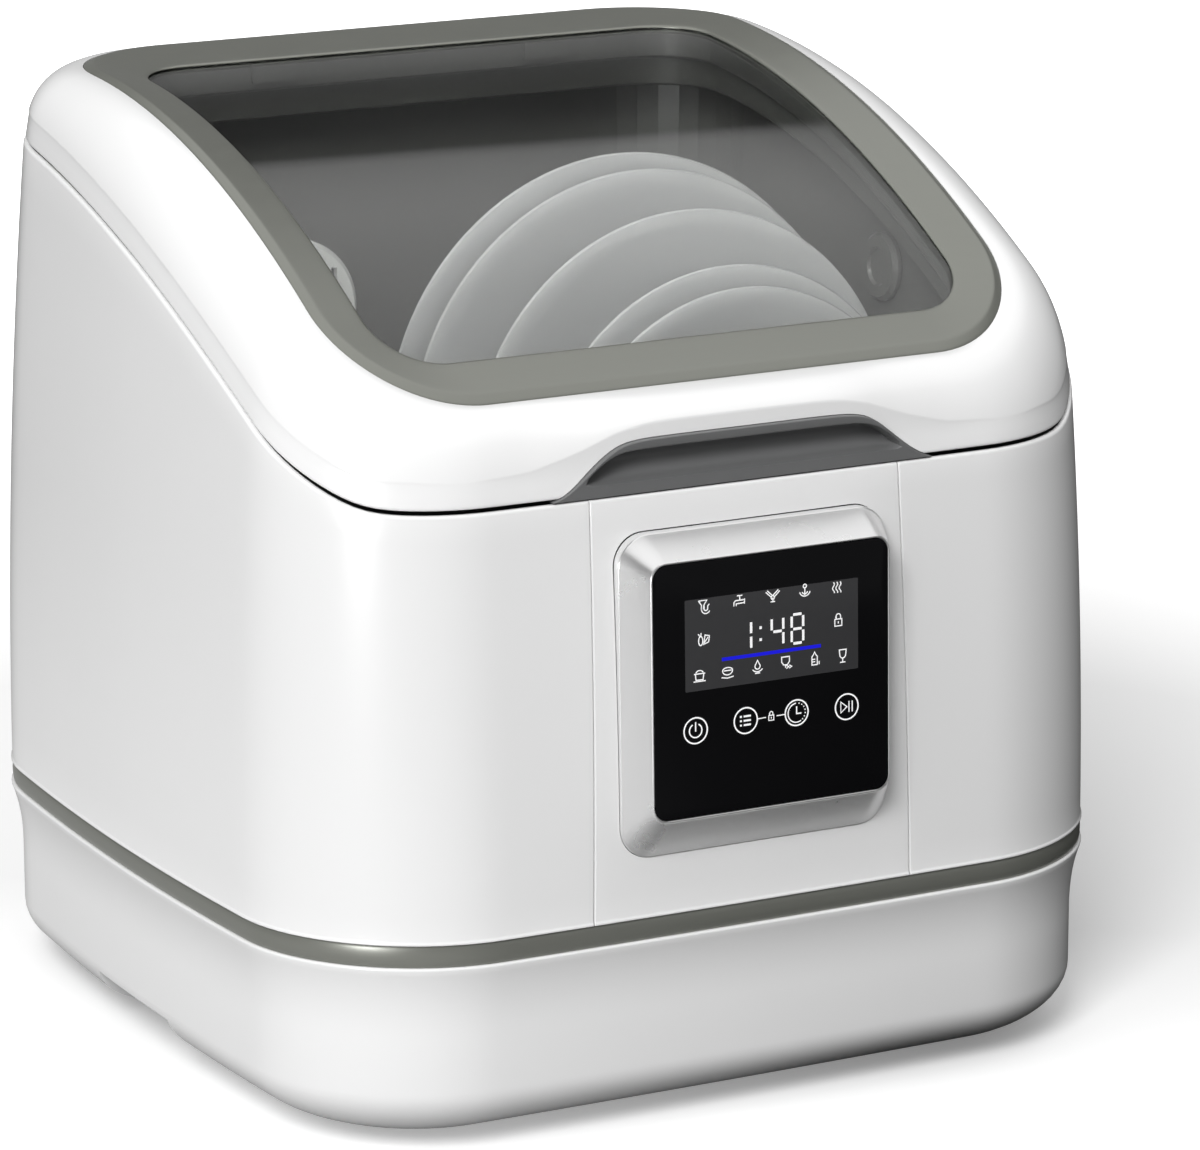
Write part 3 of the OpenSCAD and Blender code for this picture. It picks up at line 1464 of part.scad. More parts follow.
floor_pitch_y = 32;
floor_pitch_x = 37;
weld_gap = 0.1;
cross_z = basket_z + 2 * wire_r - weld;
module basket_floor() {
    ny = floor((basket_d - basket_r) / floor_pitch_y);
    nx = floor((basket_w - basket_r) / floor_pitch_x);
    reach_x = basket_w - upright_in - wire_r - weld_gap;
    reach_y = basket_d - upright_in - wire_r - weld_gap;
    color("lightgray") {
        for (i = [-ny : ny]) translate([-reach_x, i * floor_pitch_y, basket_z]) rotate([0, 90, 0])
            cylinder(r = wire_r, h = 2 * reach_x, $fn = 32);
        for (i = [-nx : nx]) translate([i * floor_pitch_x, -reach_y, cross_z]) along_y()
            cylinder(r = wire_r, h = 2 * reach_y, $fn = 32);
    }
}

tine_x = [18, 92];
tine_rows = 7;
tine_r = 1.5;
tine_base = basket_z + 2 * wire_r + weld_gap;
tine_end = 8;
module plate_tines() {
    color("lightgray") for (x = tine_x) {
        translate([x, -(tine_rows - 1) / 2 * tine_pitch - tine_end, tine_base]) along_y()
            cylinder(r = wire_r, h = (tine_rows - 1) * tine_pitch + 2 * tine_end, $fn = 32);
        for (i = [0 : tine_rows - 1]) translate([x, (i - (tine_rows - 1) / 2) * tine_pitch, tine_base]) {
            cylinder(r = tine_r, h = tine_h, $fn = 32);
        }
    }
}

cutlery_gap = 3;
cutlery_x = -(basket_w - rim_r - cutlery_gap - cutlery_w);
cutlery_z = cross_z + wire_r + seat_gap;
cutlery_t = 2;
cells = 4;
cell_l = (cutlery_l - (cells + 1) * cutlery_t) / cells;
cell_pitch = cell_l + cutlery_t;
drip_pitch = 10;
drip_w = 4;
drip_low = 12;
drip_high = 18;
module cutlery_holder() {
    color("gray") translate([cutlery_x - cutlery_w, -cutlery_l / 2, cutlery_z]) difference() {
        cube([cutlery_w, cutlery_l, cutlery_h]);
        for (i = [0 : cells - 1]) translate([cutlery_t, cutlery_t + i * cell_pitch, cutlery_t])
            cube([cutlery_w - 2 * cutlery_t, cell_l, cutlery_h]);
        for (i = [0 : cells - 1], k = [-1 : 1])
            translate([-1, cutlery_t + cell_l / 2 + i * cell_pitch + k * drip_pitch - drip_w / 2, drip_low])
                cube([cutlery_w + 2, drip_w, cutlery_h - drip_low - drip_high]);
    }
}

// The whole stands centred on its own footprint, the control surround included
front_reach = surround_out * cos(tilt) - front_y(control_z) + (key_glass_h / 2 + surround_edge) * sin(tilt);
centre_y = (front_reach - half_d) / 2;
module placed() {
    translate([0, centre_y, 0]) children();
}

placed() base_tray();
placed() service_plate();
placed() foot_front_left();
placed() foot_front_right();
placed() foot_rear_left();
placed() foot_rear_right();
placed() trim_band();
placed() outer_casing();
placed() front_panel();
placed() rear_panel();
placed() control_surround();
placed() control_glass();
placed() display_module();
placed() touch_board();
placed() power_board();
placed() tub();
placed() tub_seal();
placed() vent_cover();
placed() wall_boss();
placed() sump();
placed() filter_plate();
placed() heater();
placed() wash_pump_housing();
placed() wash_pump_motor();
placed() drain_pump_housing();
placed() drain_pump_motor();
placed() supply_pipe();
placed() suction_pipe();
placed() drain_pipe();
placed() drain_hose();
placed() drain_outlet();
placed() fill_valve();
placed() fill_hose();
placed() power_gland();
placed() spray_bearing();
placed() fan_housing();
placed() fan_duct();
placed() latch_keeper();
placed() hinge_bracket_left();
placed() hinge_bracket_right();
placed() hinge_pin_left();
placed() hinge_pin_right();
placed() lid_shell();
placed() lid_liner();
placed() window_frame();
placed() window_glass();
placed() window_clips();
placed() grip_insert();
placed() lid_hook();
placed() hinge_arm_left();
placed() hinge_arm_right();
placed() spray_arm();
placed() basket_frame();
placed() basket_floor();
placed() plate_tines();
placed() cutlery_holder();
placed() filter_cup();
placed() wash_impeller();
placed() drain_impeller();
placed() fan_rotor();
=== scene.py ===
import bmesh
import bpy
import numpy as np
from math import atan, cos, pi, radians, sin
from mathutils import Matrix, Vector


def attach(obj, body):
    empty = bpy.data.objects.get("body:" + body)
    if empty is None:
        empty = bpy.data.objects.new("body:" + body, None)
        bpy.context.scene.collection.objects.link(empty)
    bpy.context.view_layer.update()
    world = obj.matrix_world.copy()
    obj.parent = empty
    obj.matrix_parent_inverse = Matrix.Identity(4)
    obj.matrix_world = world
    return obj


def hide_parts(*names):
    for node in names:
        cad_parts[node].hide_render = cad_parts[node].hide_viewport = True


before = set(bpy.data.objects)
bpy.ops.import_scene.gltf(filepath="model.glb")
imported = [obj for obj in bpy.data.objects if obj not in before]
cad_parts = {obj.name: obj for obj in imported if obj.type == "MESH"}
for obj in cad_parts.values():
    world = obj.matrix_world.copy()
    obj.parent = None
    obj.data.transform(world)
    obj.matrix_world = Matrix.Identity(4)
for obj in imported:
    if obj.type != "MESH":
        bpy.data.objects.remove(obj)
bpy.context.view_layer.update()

# ---- Sizes shared by the pieces, in millimetres ----
MM = 0.001
# Half width, half depth and corner radius of the body at the band
HALF_W, HALF_D, CORNER = 210.0, 205.5, 78.0
FLAT_HALF = HALF_W - CORNER
# How far the side walls, and the front and rear walls, draw in towards their ends
SIDE_BOW, END_BOW = 12, 3
# Distance from the middle at which each bow has its full size
SIDE_START, END_START = 33, 31.9
# Inward lean of all walls and backward lean of the front wall at 100 mm above the casing's foot
TAPER, FRONT_LEAN = 1.5, 2
# Share of the front's lean that grows with the height, and the share that grows with its square
EVEN_LEAN, CURVED_LEAN = 0.65, 0.35
BAND_Z, CASING_Z = 89.0, 99.0
LID_STEP, WALL = 1.5, 3.0
HINGE_Y, HINGE_Z, HINGE_X = 186.0, 401.0, 110.0
# Seam between casing and lid: where it starts to climb, over what run, how softly, from what height
# and how far
SEAM_Y, SEAM_RUN, SEAM_SOFT, SEAM_Z, SEAM_RISE = -184, 374, 9, 282, 110
# Lid's top: its height at the rear, where it starts to fall, and how far it falls over what run
TOP_Z, TOP_FLAT_Y, TOP_FALL, TOP_RUN = 423.5, 130, 101, 300
# Window frame's outer edge and the visible glass: half width, half depth and corner radius; the
# last value is the depth of the glass's middle
FRAME_PLAN, SIGHT_PLAN, SIGHT_Y = (166, 170, 57), (143, 135.75, 28), -9.75
# Control panel: height of its middle, how far it stands out, the glass's half width and half height,
# and the width of the rim round it
CONTROL_Z, FACE, KEY_W, KEY_H, KEY_RIM = 200.9, 17.0, 56.75, 55.3, 1.8
CORNERS = [(1, 1), (-1, 1), (-1, -1), (1, -1)]


def mix(a, b, t):
    return a + (b - a) * t


def stations(nc, ns, start=0, count=4):
    """Rows of (u, v, angle) round a rounded rectangle, anticlockwise."""
    rows = []
    for q in range(start, start + count):
        a, b = CORNERS[q % 4], CORNERS[(q + 1) % 4]
        rows += [(a[0], a[1], radians(90 * (q + i / nc))) for i in range(nc)]
        rows += [(mix(a[0], b[0], i / ns), mix(a[1], b[1], i / ns), radians(90 * (q + 1))) for i in range(ns)]
    return np.array(rows, float)


def plan(st, w, d, r):
    return st[:, 0] * (w - r) + r * np.cos(st[:, 2]), st[:, 1] * (d - r) + r * np.sin(st[:, 2])


def steps_up(z):
    """Height above the casing's foot in units of 100 mm."""
    return np.maximum(np.asarray(z, float) - CASING_Z, 0) / 100


def lean(z):
    k = steps_up(z)
    return FRONT_LEAN * (EVEN_LEAN * k + CURVED_LEAN * k * k)


def wall(st, z, inset=0.0):
    """Points of the body's wall at a height and an inward offset."""
    z = np.zeros(len(st)) + z
    k = steps_up(z)
    inn = TAPER * k * k + inset
    x, y = plan(st, HALF_W - inn, HALF_D - inn, CORNER - inn)
    bx = x - np.sign(x) * SIDE_BOW * (y / HALF_D) ** 2 * np.clip(np.abs(x) / SIDE_START, 0, 1)
    by = y - np.sign(y) * END_BOW * (x / HALF_W) ** 2 * np.clip(np.abs(y) / END_START, 0, 1)
    by = np.where(by < 0, by * (1 - lean(z) / HALF_D), by)
    return np.stack([bx, by, z], 1)


def climb(y):
    """Height of the seam at a depth."""
    t = (y - SEAM_Y) / SEAM_RUN
    u = np.minimum((t + np.sqrt(t * t + (SEAM_SOFT / SEAM_RUN) ** 2)) / 2, 1)
    return SEAM_Z + SEAM_RISE * (1 - (1 - u) ** 2)


def seam(st):
    return climb(wall(st, CASING_Z)[:, 1])


def front_y(z):
    k = max(z - CASING_Z, 0) / 100
    return -(HALF_D - TAPER * k * k - float(lean(z)))


def top_z(y):
    return TOP_Z - TOP_FALL * (np.maximum(TOP_FLAT_Y - y, 0) / TOP_RUN) ** 2


def window(st, t, lift, grow=0.0):
    """Points between the window frame's outer edge (t = 0) and the visible glass (t = 1)."""
    x, y = plan(st, *[mix(a, b, t) + grow for a, b in zip(FRAME_PLAN, SIGHT_PLAN)])
    y = y + mix(0, SIGHT_Y, t)
    return np.stack([x, y, top_z(y) + lift], 1)


def box_ring(st, w, d, r, z, cy=0.0):
    x, y = plan(st, w, d, r)
    return np.stack([x, y + cy, np.zeros(len(st)) + z], 1)


TILT = atan((float(lean(CONTROL_Z + 50)) - float(lean(CONTROL_Z - 50))) / 100)
# The whole stands centred on its footprint, the control surround included
SHIFT = (FACE * cos(TILT) - front_y(CONTROL_Z) + (KEY_H + KEY_RIM) * sin(TILT) - HALF_D) / 2


def on_front(points):
    """From the control panel's own frame (right, up, outward) to the row frame."""
    p = np.atleast_2d(np.asarray(points, float))
    y = front_y(CONTROL_Z) + p[:, 1] * sin(TILT) - p[:, 2] * cos(TILT)
    z = CONTROL_Z + p[:, 1] * cos(TILT) + p[:, 2] * sin(TILT)
    return np.stack([p[:, 0], y, z], 1)


# ---- Mesh helpers ----
def grid_faces(m, n, closed, wrap, base=0):
    faces = []
    for j in range(m if closed else m - 1):
        k = (j + 1) % m
        for i in range(n if wrap else n - 1):
            h = (i + 1) % n
            faces.append((base + j * n + i, base + j * n + h, base + k * n + h, base + k * n + i))
    return faces


def loft(rings, closed=True, wrap=True):
    """Vertices and faces through a stack of rings.

    closed joins the last ring to the first, wrap joins the two ends of each ring.
    """
    a = np.array(rings, float)
    m, n = a.shape[:2]
    faces = grid_faces(m, n, closed, wrap)
    if closed and not wrap:
        faces += [tuple(j * n for j in range(m)), tuple(j * n + n - 1 for j in reversed(range(m)))]
    if not closed and wrap:
        faces += [tuple(range(n)), tuple((m - 1) * n + i for i in reversed(range(n)))]
    return a.reshape(-1, 3), faces


def join(parts):
    verts, faces, base = [], [], 0
    for v, f in parts:
        verts.append(np.asarray(v, float))
        faces += [tuple(i + base for i in face) for face in f]
        base += len(v)
    return np.concatenate(verts), faces


# Angle in degrees above which an edge stays sharp
SHARP = 38


def finish_mesh(mesh, sharp=SHARP):
    bm = bmesh.new()
    bm.from_mesh(mesh)
    bmesh.ops.remove_doubles(bm, verts=bm.verts, dist=1e-7)
    bmesh.ops.recalc_face_normals(bm, faces=bm.faces)
    bm.to_mesh(mesh)
    bm.free()
    mesh.shade_smooth()
    mesh.set_sharp_from_angle(angle=radians(sharp))


def build(name, shape, sharp=SHARP):
    """Object from vertices in millimetres and faces, set in the row frame."""
    verts, faces = shape
    mesh = bpy.data.meshes.new(name)
    mesh.from_pydata(((np.asarray(verts) + [0, SHIFT, 0]) * MM).tolist(), [], faces)
    mesh.update()
    finish_mesh(mesh, sharp)
    obj = bpy.data.objects.new(name, mesh)
    bpy.context.scene.collection.objects.link(obj)
    return obj


def cut(obj, cutters, sharp=SHARP):
    """Takes each cutter out of obj; the cutters are used up."""
    for cutter in cutters:
        m = obj.modifiers.new("cut", "BOOLEAN")
        m.operation, m.solver, m.object = "DIFFERENCE", "EXACT", cutter
    graph = bpy.context.evaluated_depsgraph_get()
    mesh = bpy.data.meshes.new_from_object(obj.evaluated_get(graph))
    obj.modifiers.clear()
    old = obj.data
    obj.data = mesh
    mesh.name = obj.name
    bpy.data.meshes.remove(old)
    for cutter in cutters:
        data = cutter.data
        bpy.data.objects.remove(cutter)
        bpy.data.meshes.remove(data)
    finish_mesh(mesh, sharp)
    return obj


def block(lo, hi):
    x, y, z = zip(lo, hi)
    v = [(x[i], y[j], z[k]) for k in (0, 1) for j in (0, 1) for i in (0, 1)]
    f = [(0, 2, 3, 1), (4, 5, 7, 6), (0, 1, 5, 4), (2, 6, 7, 3), (0, 4, 6, 2), (1, 3, 7, 5)]
    return np.array(v, float), f


def prism(outline, axis, lo, hi):
    """Outline of two coordinates pulled along axis 0, 1 or 2 from lo to hi."""
    p = np.array(outline, float)
    n = len(p)
    rings = [np.insert(p, axis, level, axis=1) for level in (lo, hi)]
    v = np.concatenate(rings)
    f = [tuple(range(n)), tuple(n + i for i in reversed(range(n)))]
    return v, f + [(i, (i + 1) % n, n + (i + 1) % n, n + i) for i in range(n)]


def disc(axis, centre, r, lo, hi, n=64):
    """Cylinder along an axis, as a prism."""
    a = np.linspace(0, 2 * pi, n, endpoint=False)
    return prism(np.stack([centre[0] + r * np.cos(a), centre[1] + r * np.sin(a)], 1), axis, lo, hi)


def tool(shape):
    return build("cutter", shape)


# ---- Materials ----
def new_material(name):
    m = bpy.data.materials.new(name)
    m.use_nodes = True
    nt = m.node_tree
    nt.nodes.clear()
    out = nt.nodes.new("ShaderNodeOutputMaterial")
    return m, nt, out


def node(nt, kind, **values):
    n = nt.nodes.new(kind)
    for key, value in values.items():
        if key in n.inputs.keys():
            n.inputs[key].default_value = value
        else:
            setattr(n, key, value)
    return n


def sum_node(nt, operation, a, b):
    """Socket with the result of a sum on two sockets or numbers."""
    n = node(nt, "ShaderNodeMath", operation=operation)
    for socket, value in zip(n.inputs, (a, b)):
        if isinstance(value, float):
            socket.default_value = value
        else:
            nt.links.new(value, socket)
    return n.outputs[0]


def map_node(nt, value, ends, levels):
    """Socket that runs between two levels while a value runs between two ends."""
    n = node(nt, "ShaderNodeMapRange")
    n.inputs["From Min"].default_value, n.inputs["From Max"].default_value = ends
    n.inputs["To Min"].default_value, n.inputs["To Max"].default_value = levels
    nt.links.new(value, n.inputs["Value"])
    return n.outputs["Result"]


def mix_node(nt, share, a, b):
    """Socket of two shaders mixed by a share."""
    n = node(nt, "ShaderNodeMixShader")
    for socket, value in zip(n.inputs, (share, a, b)):
        nt.links.new(value, socket)
    return n.outputs[0]


def finish_node(name, color, rough, vary=0.02, scale=40.0, rough_vary=0.05, bump=0.0, bump_scale=900.0,
                stretch=(1, 1, 1), metal=0.0, coat=0.0, coat_rough=0.05, spec=0.5, emit=None):
    """Moulded or painted surface: slight colour and gloss variation with a fine surface bump."""
    m, nt, out = new_material(name)
    shader = node(nt, "ShaderNodeBsdfPrincipled")
    shader.inputs["Metallic"].default_value = metal
    shader.inputs["Coat Weight"].default_value = coat
    shader.inputs["Coat Roughness"].default_value = coat_rough
    shader.inputs["Specular IOR Level"].default_value = spec
    where = node(nt, "ShaderNodeTexCoord")
    size = node(nt, "ShaderNodeMapping")
    size.inputs["Scale"].default_value = stretch
    nt.links.new(where.outputs["Object"], size.inputs["Vector"])
    cloud = node(nt, "ShaderNodeTexNoise", Scale=scale, Detail=3.0, Roughness=0.55)
    nt.links.new(size.outputs["Vector"], cloud.inputs["Vector"])
    shade = node(nt, "ShaderNodeMix", data_type="RGBA")
    shade.inputs[6].default_value = [c * (1 - vary) for c in color] + [1]
    shade.inputs[7].default_value = [min(c * (1 + vary), 1) for c in color] + [1]
    nt.links.new(cloud.outputs["Fac"], shade.inputs[0])
    nt.links.new(shade.outputs[2], shader.inputs["Base Color"])
    levels = max(rough - rough_vary, 0.01), min(rough + rough_vary, 1)
    nt.links.new(map_node(nt, cloud.outputs["Fac"], (0, 1), levels), shader.inputs["Roughness"])
    if bump:
        grain = node(nt, "ShaderNodeTexNoise", Scale=bump_scale, Detail=2.0, Roughness=0.5)
        nt.links.new(size.outputs["Vector"], grain.inputs["Vector"])
        lift = node(nt, "ShaderNodeBump", Strength=bump, Distance=0.0002)
        nt.links.new(grain.outputs["Fac"], lift.inputs["Height"])
        nt.links.new(lift.outputs["Normal"], shader.inputs["Normal"])
    if emit:
        shader.inputs["Emission Color"].default_value = list(emit[0]) + [1]
        shader.inputs["Emission Strength"].default_value = emit[1]
    nt.links.new(shader.outputs["BSDF"], out.inputs["Surface"])
    return m


def glass_node(name, tint, rough=0.02, ior=1.45):
    """Clear glass that lets the lamps' light through."""
    m, nt, out = new_material(name)
    shader = node(nt, "ShaderNodeBsdfPrincipled")
    shader.inputs["Base Color"].default_value = list(tint) + [1]
    shader.inputs["Transmission Weight"].default_value = 1.0
    shader.inputs["Roughness"].default_value = rough
    shader.inputs["IOR"].default_value = ior
    clear = node(nt, "ShaderNodeBsdfTransparent", Color=list(tint) + [1])
    path = node(nt, "ShaderNodeLightPath")
    both = mix_node(nt, path.outputs["Is Shadow Ray"], shader.outputs["BSDF"], clear.outputs["BSDF"])
    nt.links.new(both, out.inputs["Surface"])
    return m


def white_node(name, level):
    """Glossy white plastic of a plain brightness."""
    return finish_node(name, (level, level, level), 0.24, 0.012, 9, 0.03, 0.012, 260, coat=0.25)


MAT = {
    "white_shell": white_node("white_gloss_plastic", 0.80),
    "taupe_metal": finish_node("taupe_satin_metal", (0.225, 0.23, 0.206), 0.34, 0.03, 60, 0.05, 0.02, 700,
                               stretch=(1, 1, 6), metal=0.45, coat=0.15, coat_rough=0.2),
    "window_glass": glass_node("window_glass", (0.86, 0.87, 0.86)),
    "black_glass": finish_node("black_printed_glass", (0.0045, 0.0045, 0.005), 0.16, 0.1, 30, 0.02,
                               spec=0.12),
    "display": finish_node("display_cell", (0.042, 0.042, 0.044), 0.35, 0.05, 200, 0.03, spec=0.12),
    "circuit_board": finish_node("circuit_board", (0.02, 0.09, 0.035), 0.45, 0.25, 260, 0.1, 0.2, 400),
    "dark_liner": finish_node("dark_liner_plastic", (0.055, 0.056, 0.052), 0.38, 0.05, 50, 0.06, 0.05),
    "tub_grey": finish_node("tub_grey_plastic", (0.075, 0.075, 0.072), 0.36, 0.05, 30, 0.06, 0.05, 800),
    "vent_white": finish_node("vent_white_plastic", (0.70, 0.70, 0.69), 0.3, 0.02, 60),
    "boss_grey": finish_node("boss_grey_plastic", (0.08, 0.08, 0.076), 0.35, 0.05, 60, 0.05, 0.05, 800),
    "grip_grey": finish_node("grip_grey_plastic", (0.145, 0.147, 0.148), 0.3, 0.04, 60, 0.05, 0.03, 700,
                             coat=0.2, coat_rough=0.15),
    "seal_rubber": finish_node("seal_rubber", (0.03, 0.03, 0.031), 0.6, 0.08, 120, 0.08, 0.1),
    "foot_rubber": finish_node("foot_rubber", (0.035, 0.035, 0.036), 0.68, 0.08, 120, 0.08, 0.15, 1100),
    "steel": finish_node("drawn_steel", (0.58, 0.58, 0.57), 0.27, 0.04, 90, 0.07, 0.05, 600,
                         stretch=(1, 9, 1), metal=1.0),
    "wire": finish_node("coated_wire", (0.46, 0.46, 0.46), 0.33, 0.05, 120, 0.06, 0.06),
    "inner_plastic": finish_node("inner_grey_plastic", (0.13, 0.13, 0.13), 0.42, 0.05, 60, 0.06, 0.08, 800),
    "light_plastic": finish_node("light_grey_plastic", (0.55, 0.55, 0.54), 0.36, 0.03, 60, 0.05, 0.05, 800),
    "hose_rubber": finish_node("hose_rubber", (0.045, 0.045, 0.045), 0.55, 0.08, 120, 0.08, 0.12, 800),
    "motor_metal": finish_node("motor_metal", (0.42, 0.42, 0.42), 0.36, 0.06, 90, 0.08, 0.08, 500, metal=1.0),
}
# The lid's white is a lighter copy of the casing's white plastic: painted light that brightens the lid's top
# and skirt.
LID_WHITE_PAINTED_LIGHTER = white_node("white_plastic_painted_lighter", 0.83)
SATIN = finish_node("satin_surround", (0.88, 0.88, 0.88), 0.28, 0.01, 30, 0.03, 0.012, 400,
                    metal=0.85, coat=0.1)
# The plates' mid grey is painted shade: it darkens them to the dim light inside the machine.
PORCELAIN_SHADED = finish_node("glazed_porcelain_painted_shade", (0.42, 0.42, 0.42), 0.12, 0.012, 14, 0.03, coat=0.4)
# White print with a glow: on the display's figures it stands for their own lit segments, on the signs and key
# rings it is a painted glow that brightens them.
PRINT_WHITE_PAINTED_GLOW = finish_node("white_print_painted_glow", (0.82, 0.82, 0.83), 0.5, 0.02, 300, emit=((1, 1, 1), 0.25))
PRINT_BLUE = finish_node("blue_bar", (0.01, 0.01, 0.5), 0.45, 0.05, 300, spec=0.2,
                         emit=((0.01, 0.01, 0.9), 0.3))


def dress(obj, mat, body, slot, *nodes):
    """Gives a piece its material and body, and hides the model's nodes that it stands for."""
    obj.data.materials.clear()
    obj.data.materials.append(mat)
    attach(obj, body)
    if nodes:
        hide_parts(*nodes)
    return obj


# ---- Casing, front panel and rear panel ----
# Stations on each corner and each side
NC, NS = 20, 28
ALL = stations(NC, NS)
LEVELS = np.linspace(0, 1, 19)
# The wall stands back from the band by LIP; its foot swells out to the band's line
LIP = 0.6
FOOT_ROWS = ((0.0, 0.4), (0.1, 0.12), (0.3, 0.0), (0.75, 0.0), (1.05, 0.1), (1.5, 0.5), (1.8, LIP - 0.08),
             (2.3, LIP))
FOOT_TOP = FOOT_ROWS[-1][0]
# Rounding along the casing's upper edge: its height and its depth
EDGE_DROP, EDGE_ROUND = 1.5, 1.2
# Rounding along the front seams: distance from the edge and how far the wall stands back there
SEAM_EDGE = [(0.0, 0.45), (0.12, 0.2), (0.4, 0.02), (0.7, 0.0)]
PANEL_GAP = 0.4
# Half width of the front panel at a height, and how much it loses over what rise
PANEL_HALF, PANEL_Z, PANEL_LOSS, PANEL_RISE = 77.5, 98, 3, 192
WING_STEPS, PANEL_STEPS = 10, 23
FRONT, REAR = radians(270), radians(90)


def panel_half(z):
    return PANEL_HALF - PANEL_LOSS * (z - PANEL_Z) / PANEL_RISE


def front_u(x, z, inset):
    """Station coordinate u of the front wall where its final x is the given one."""
    k = (HALF_D - inset - TAPER * (np.maximum(z - CASING_Z, 0) / 100) ** 2) / HALF_D
    return (x + SIDE_BOW * k * k) / FLAT_HALF


def casing_rings(make_row):
    """Rings of the casing's section; make_row(zfun, inset) gives one row of points."""
    rings = [make_row(lambda s, r=rise: CASING_Z + r + 0 * s, inset) for rise, inset in FOOT_ROWS]
    for v in LEVELS[1:]:
        rings.append(make_row(lambda s, v=v: mix(CASING_Z + FOOT_TOP, s - EDGE_DROP, v), LIP))
    for a in np.radians([22.5, 45, 67.5, 90]):
        rings.append(make_row(lambda s, a=a: s - EDGE_DROP * (1 - sin(a)), LIP + EDGE_ROUND * (1 - cos(a))))
    rings.append(make_row(lambda s: s, WALL))
    for v in LEVELS[::-3]:
        rings.append(make_row(lambda s, v=v: mix(CASING_Z, s - EDGE_DROP, v), WALL))
    return rings


def panel_u(zfun, inset, gap=0.0):
    """Station coordinate of the front seam for a row, on the panel's side or past the gap."""
    z = float(zfun(climb(np.array([-HALF_D])))[0])
    return front_u(panel_half(z) + gap, z, inset)


def seam_wall(st, zfun, inset, add):
    """Row of the wall whose outer face stands back by add near the front seams."""
    return wall(st, zfun(seam(st)), inset + np.array(add) * (0 if inset >= WALL else 1))


def front_strip(zfun, inset):
    """The casing all round from the right of the front panel to its left, with rounded ends."""
    body = np.concatenate([stations(NC, NS, 3, 1)[:NC], stations(NC, NS, 0, 2), stations(NC, NS, 2, 1)[:NC]])
    u0 = panel_u(zfun, inset, PANEL_GAP)
    wing = [u0 + d / FLAT_HALF for d, back in SEAM_EDGE]
    wing += [mix(u0, 1.0, i / WING_STEPS) for i in range(1, WING_STEPS)]
    right = np.array([(u, -1.0, FRONT) for u in wing])
    add = [back for d, back in SEAM_EDGE] + [0.0] * (WING_STEPS - 1)
    st = np.concatenate([right, body, [(-1.0, -1.0, FRONT)], right[::-1] * [-1, 1, 1]])
    return seam_wall(st, zfun, inset, add + [0.0] * (len(body) + 1) + add[::-1])


def panel_strip(zfun, inset):
    """The front panel from its left seam to its right one."""
    u0 = panel_u(zfun, inset)
    ends = [-u0 + d / FLAT_HALF for d, back in SEAM_EDGE]
    backs = [back for d, back in SEAM_EDGE]
    mid = list(np.linspace(-u0, u0, PANEL_STEPS)[1:-1])
    st = np.array([(u, -1.0, FRONT) for u in ends + mid + [-u for u in ends[::-1]]])
    return seam_wall(st, zfun, inset, backs + [0.0] * len(mid) + backs[::-1])


# Rear panel: half width, lower and upper edge, and the gap round it
REAR_HALF, REAR_LOW, REAR_HIGH, REAR_GAP = 120, 116, 350, 0.3
# Depths between which the rear panel's cutting tools reach
REAR_TOOL, SLOT_TOOL = (100, 300), (150, 260)
casing = build("casing_shell", loft(casing_rings(front_strip), wrap=False))
rear_half = REAR_HALF + REAR_GAP
rear_low, rear_high = REAR_LOW - REAR_GAP, REAR_HIGH + REAR_GAP
rear_block = block((-rear_half, REAR_TOOL[0], rear_low), (rear_half, REAR_TOOL[1], rear_high))
cut(casing, [tool(rear_block)])
dress(casing, MAT["white_shell"], "machine", "white_shell", "outer_casing")

BOX = stations(12, 6)
# Control surround at the wall: half width, half height, corner radius, and its middle's height over
# the glass's middle
SURROUND_W, SURROUND_H, SURROUND_R, SURROUND_Y = 65, 70.5, 14, -4.4
# Gap round the surround in the front panel, and the hole's reach to each side of the panel's plane
HOLE_GAP, HOLE_REACH = 0.3, 15


def surround_ring(grow, z, r=SURROUND_R):
    return box_ring(BOX, SURROUND_W + grow, SURROUND_H + grow, r, z, SURROUND_Y)


front = build("front_panel_shell", loft(casing_rings(panel_strip), wrap=False))
hole = [on_front(surround_ring(HOLE_GAP, z, SURROUND_R + HOLE_GAP)) for z in (-HOLE_REACH, HOLE_REACH)]
cut(front, [tool(loft(hole, closed=False))])
dress(front, MAT["white_shell"], "machine", "white_shell", "front_panel")

# Vent slots in the rear panel: number to each side, middle, pitch, half width and the ends' centres
SLOTS_EACH_SIDE, SLOT_X, SLOT_PITCH, SLOT_R, SLOT_LOW, SLOT_HIGH = 4, -49, 10, 2.5, 268.5, 323.5
# Rounding round the rear panel's edge: distance from the edge and how far it stands back there
REAR_EDGE = ((0, 0.5), (0.15, 0.15), (0.5, 0))


def rear_strip(z, inset, half):
    k = (HALF_D - inset - TAPER * ((z - CASING_Z) / 100) ** 2) / HALF_D
    u0 = min((half + SIDE_BOW * k * k) / FLAT_HALF, 1.0)
    pts = wall(np.array([(u, 1.0, REAR) for u in np.linspace(u0, -u0, 25)]), z, inset)
    pts[0, 0], pts[-1, 0] = half, -half
    return pts


def slot(x):
    """Tool for a vent slot with round ends."""
    a = np.linspace(0, pi, 13)
    top = [(x + SLOT_R * cos(t), SLOT_HIGH + SLOT_R * sin(t)) for t in a]
    low = [(x + SLOT_R * cos(t), SLOT_LOW + SLOT_R * sin(t)) for t in a + pi]
    return tool(prism(top + low, 1, *SLOT_TOOL))


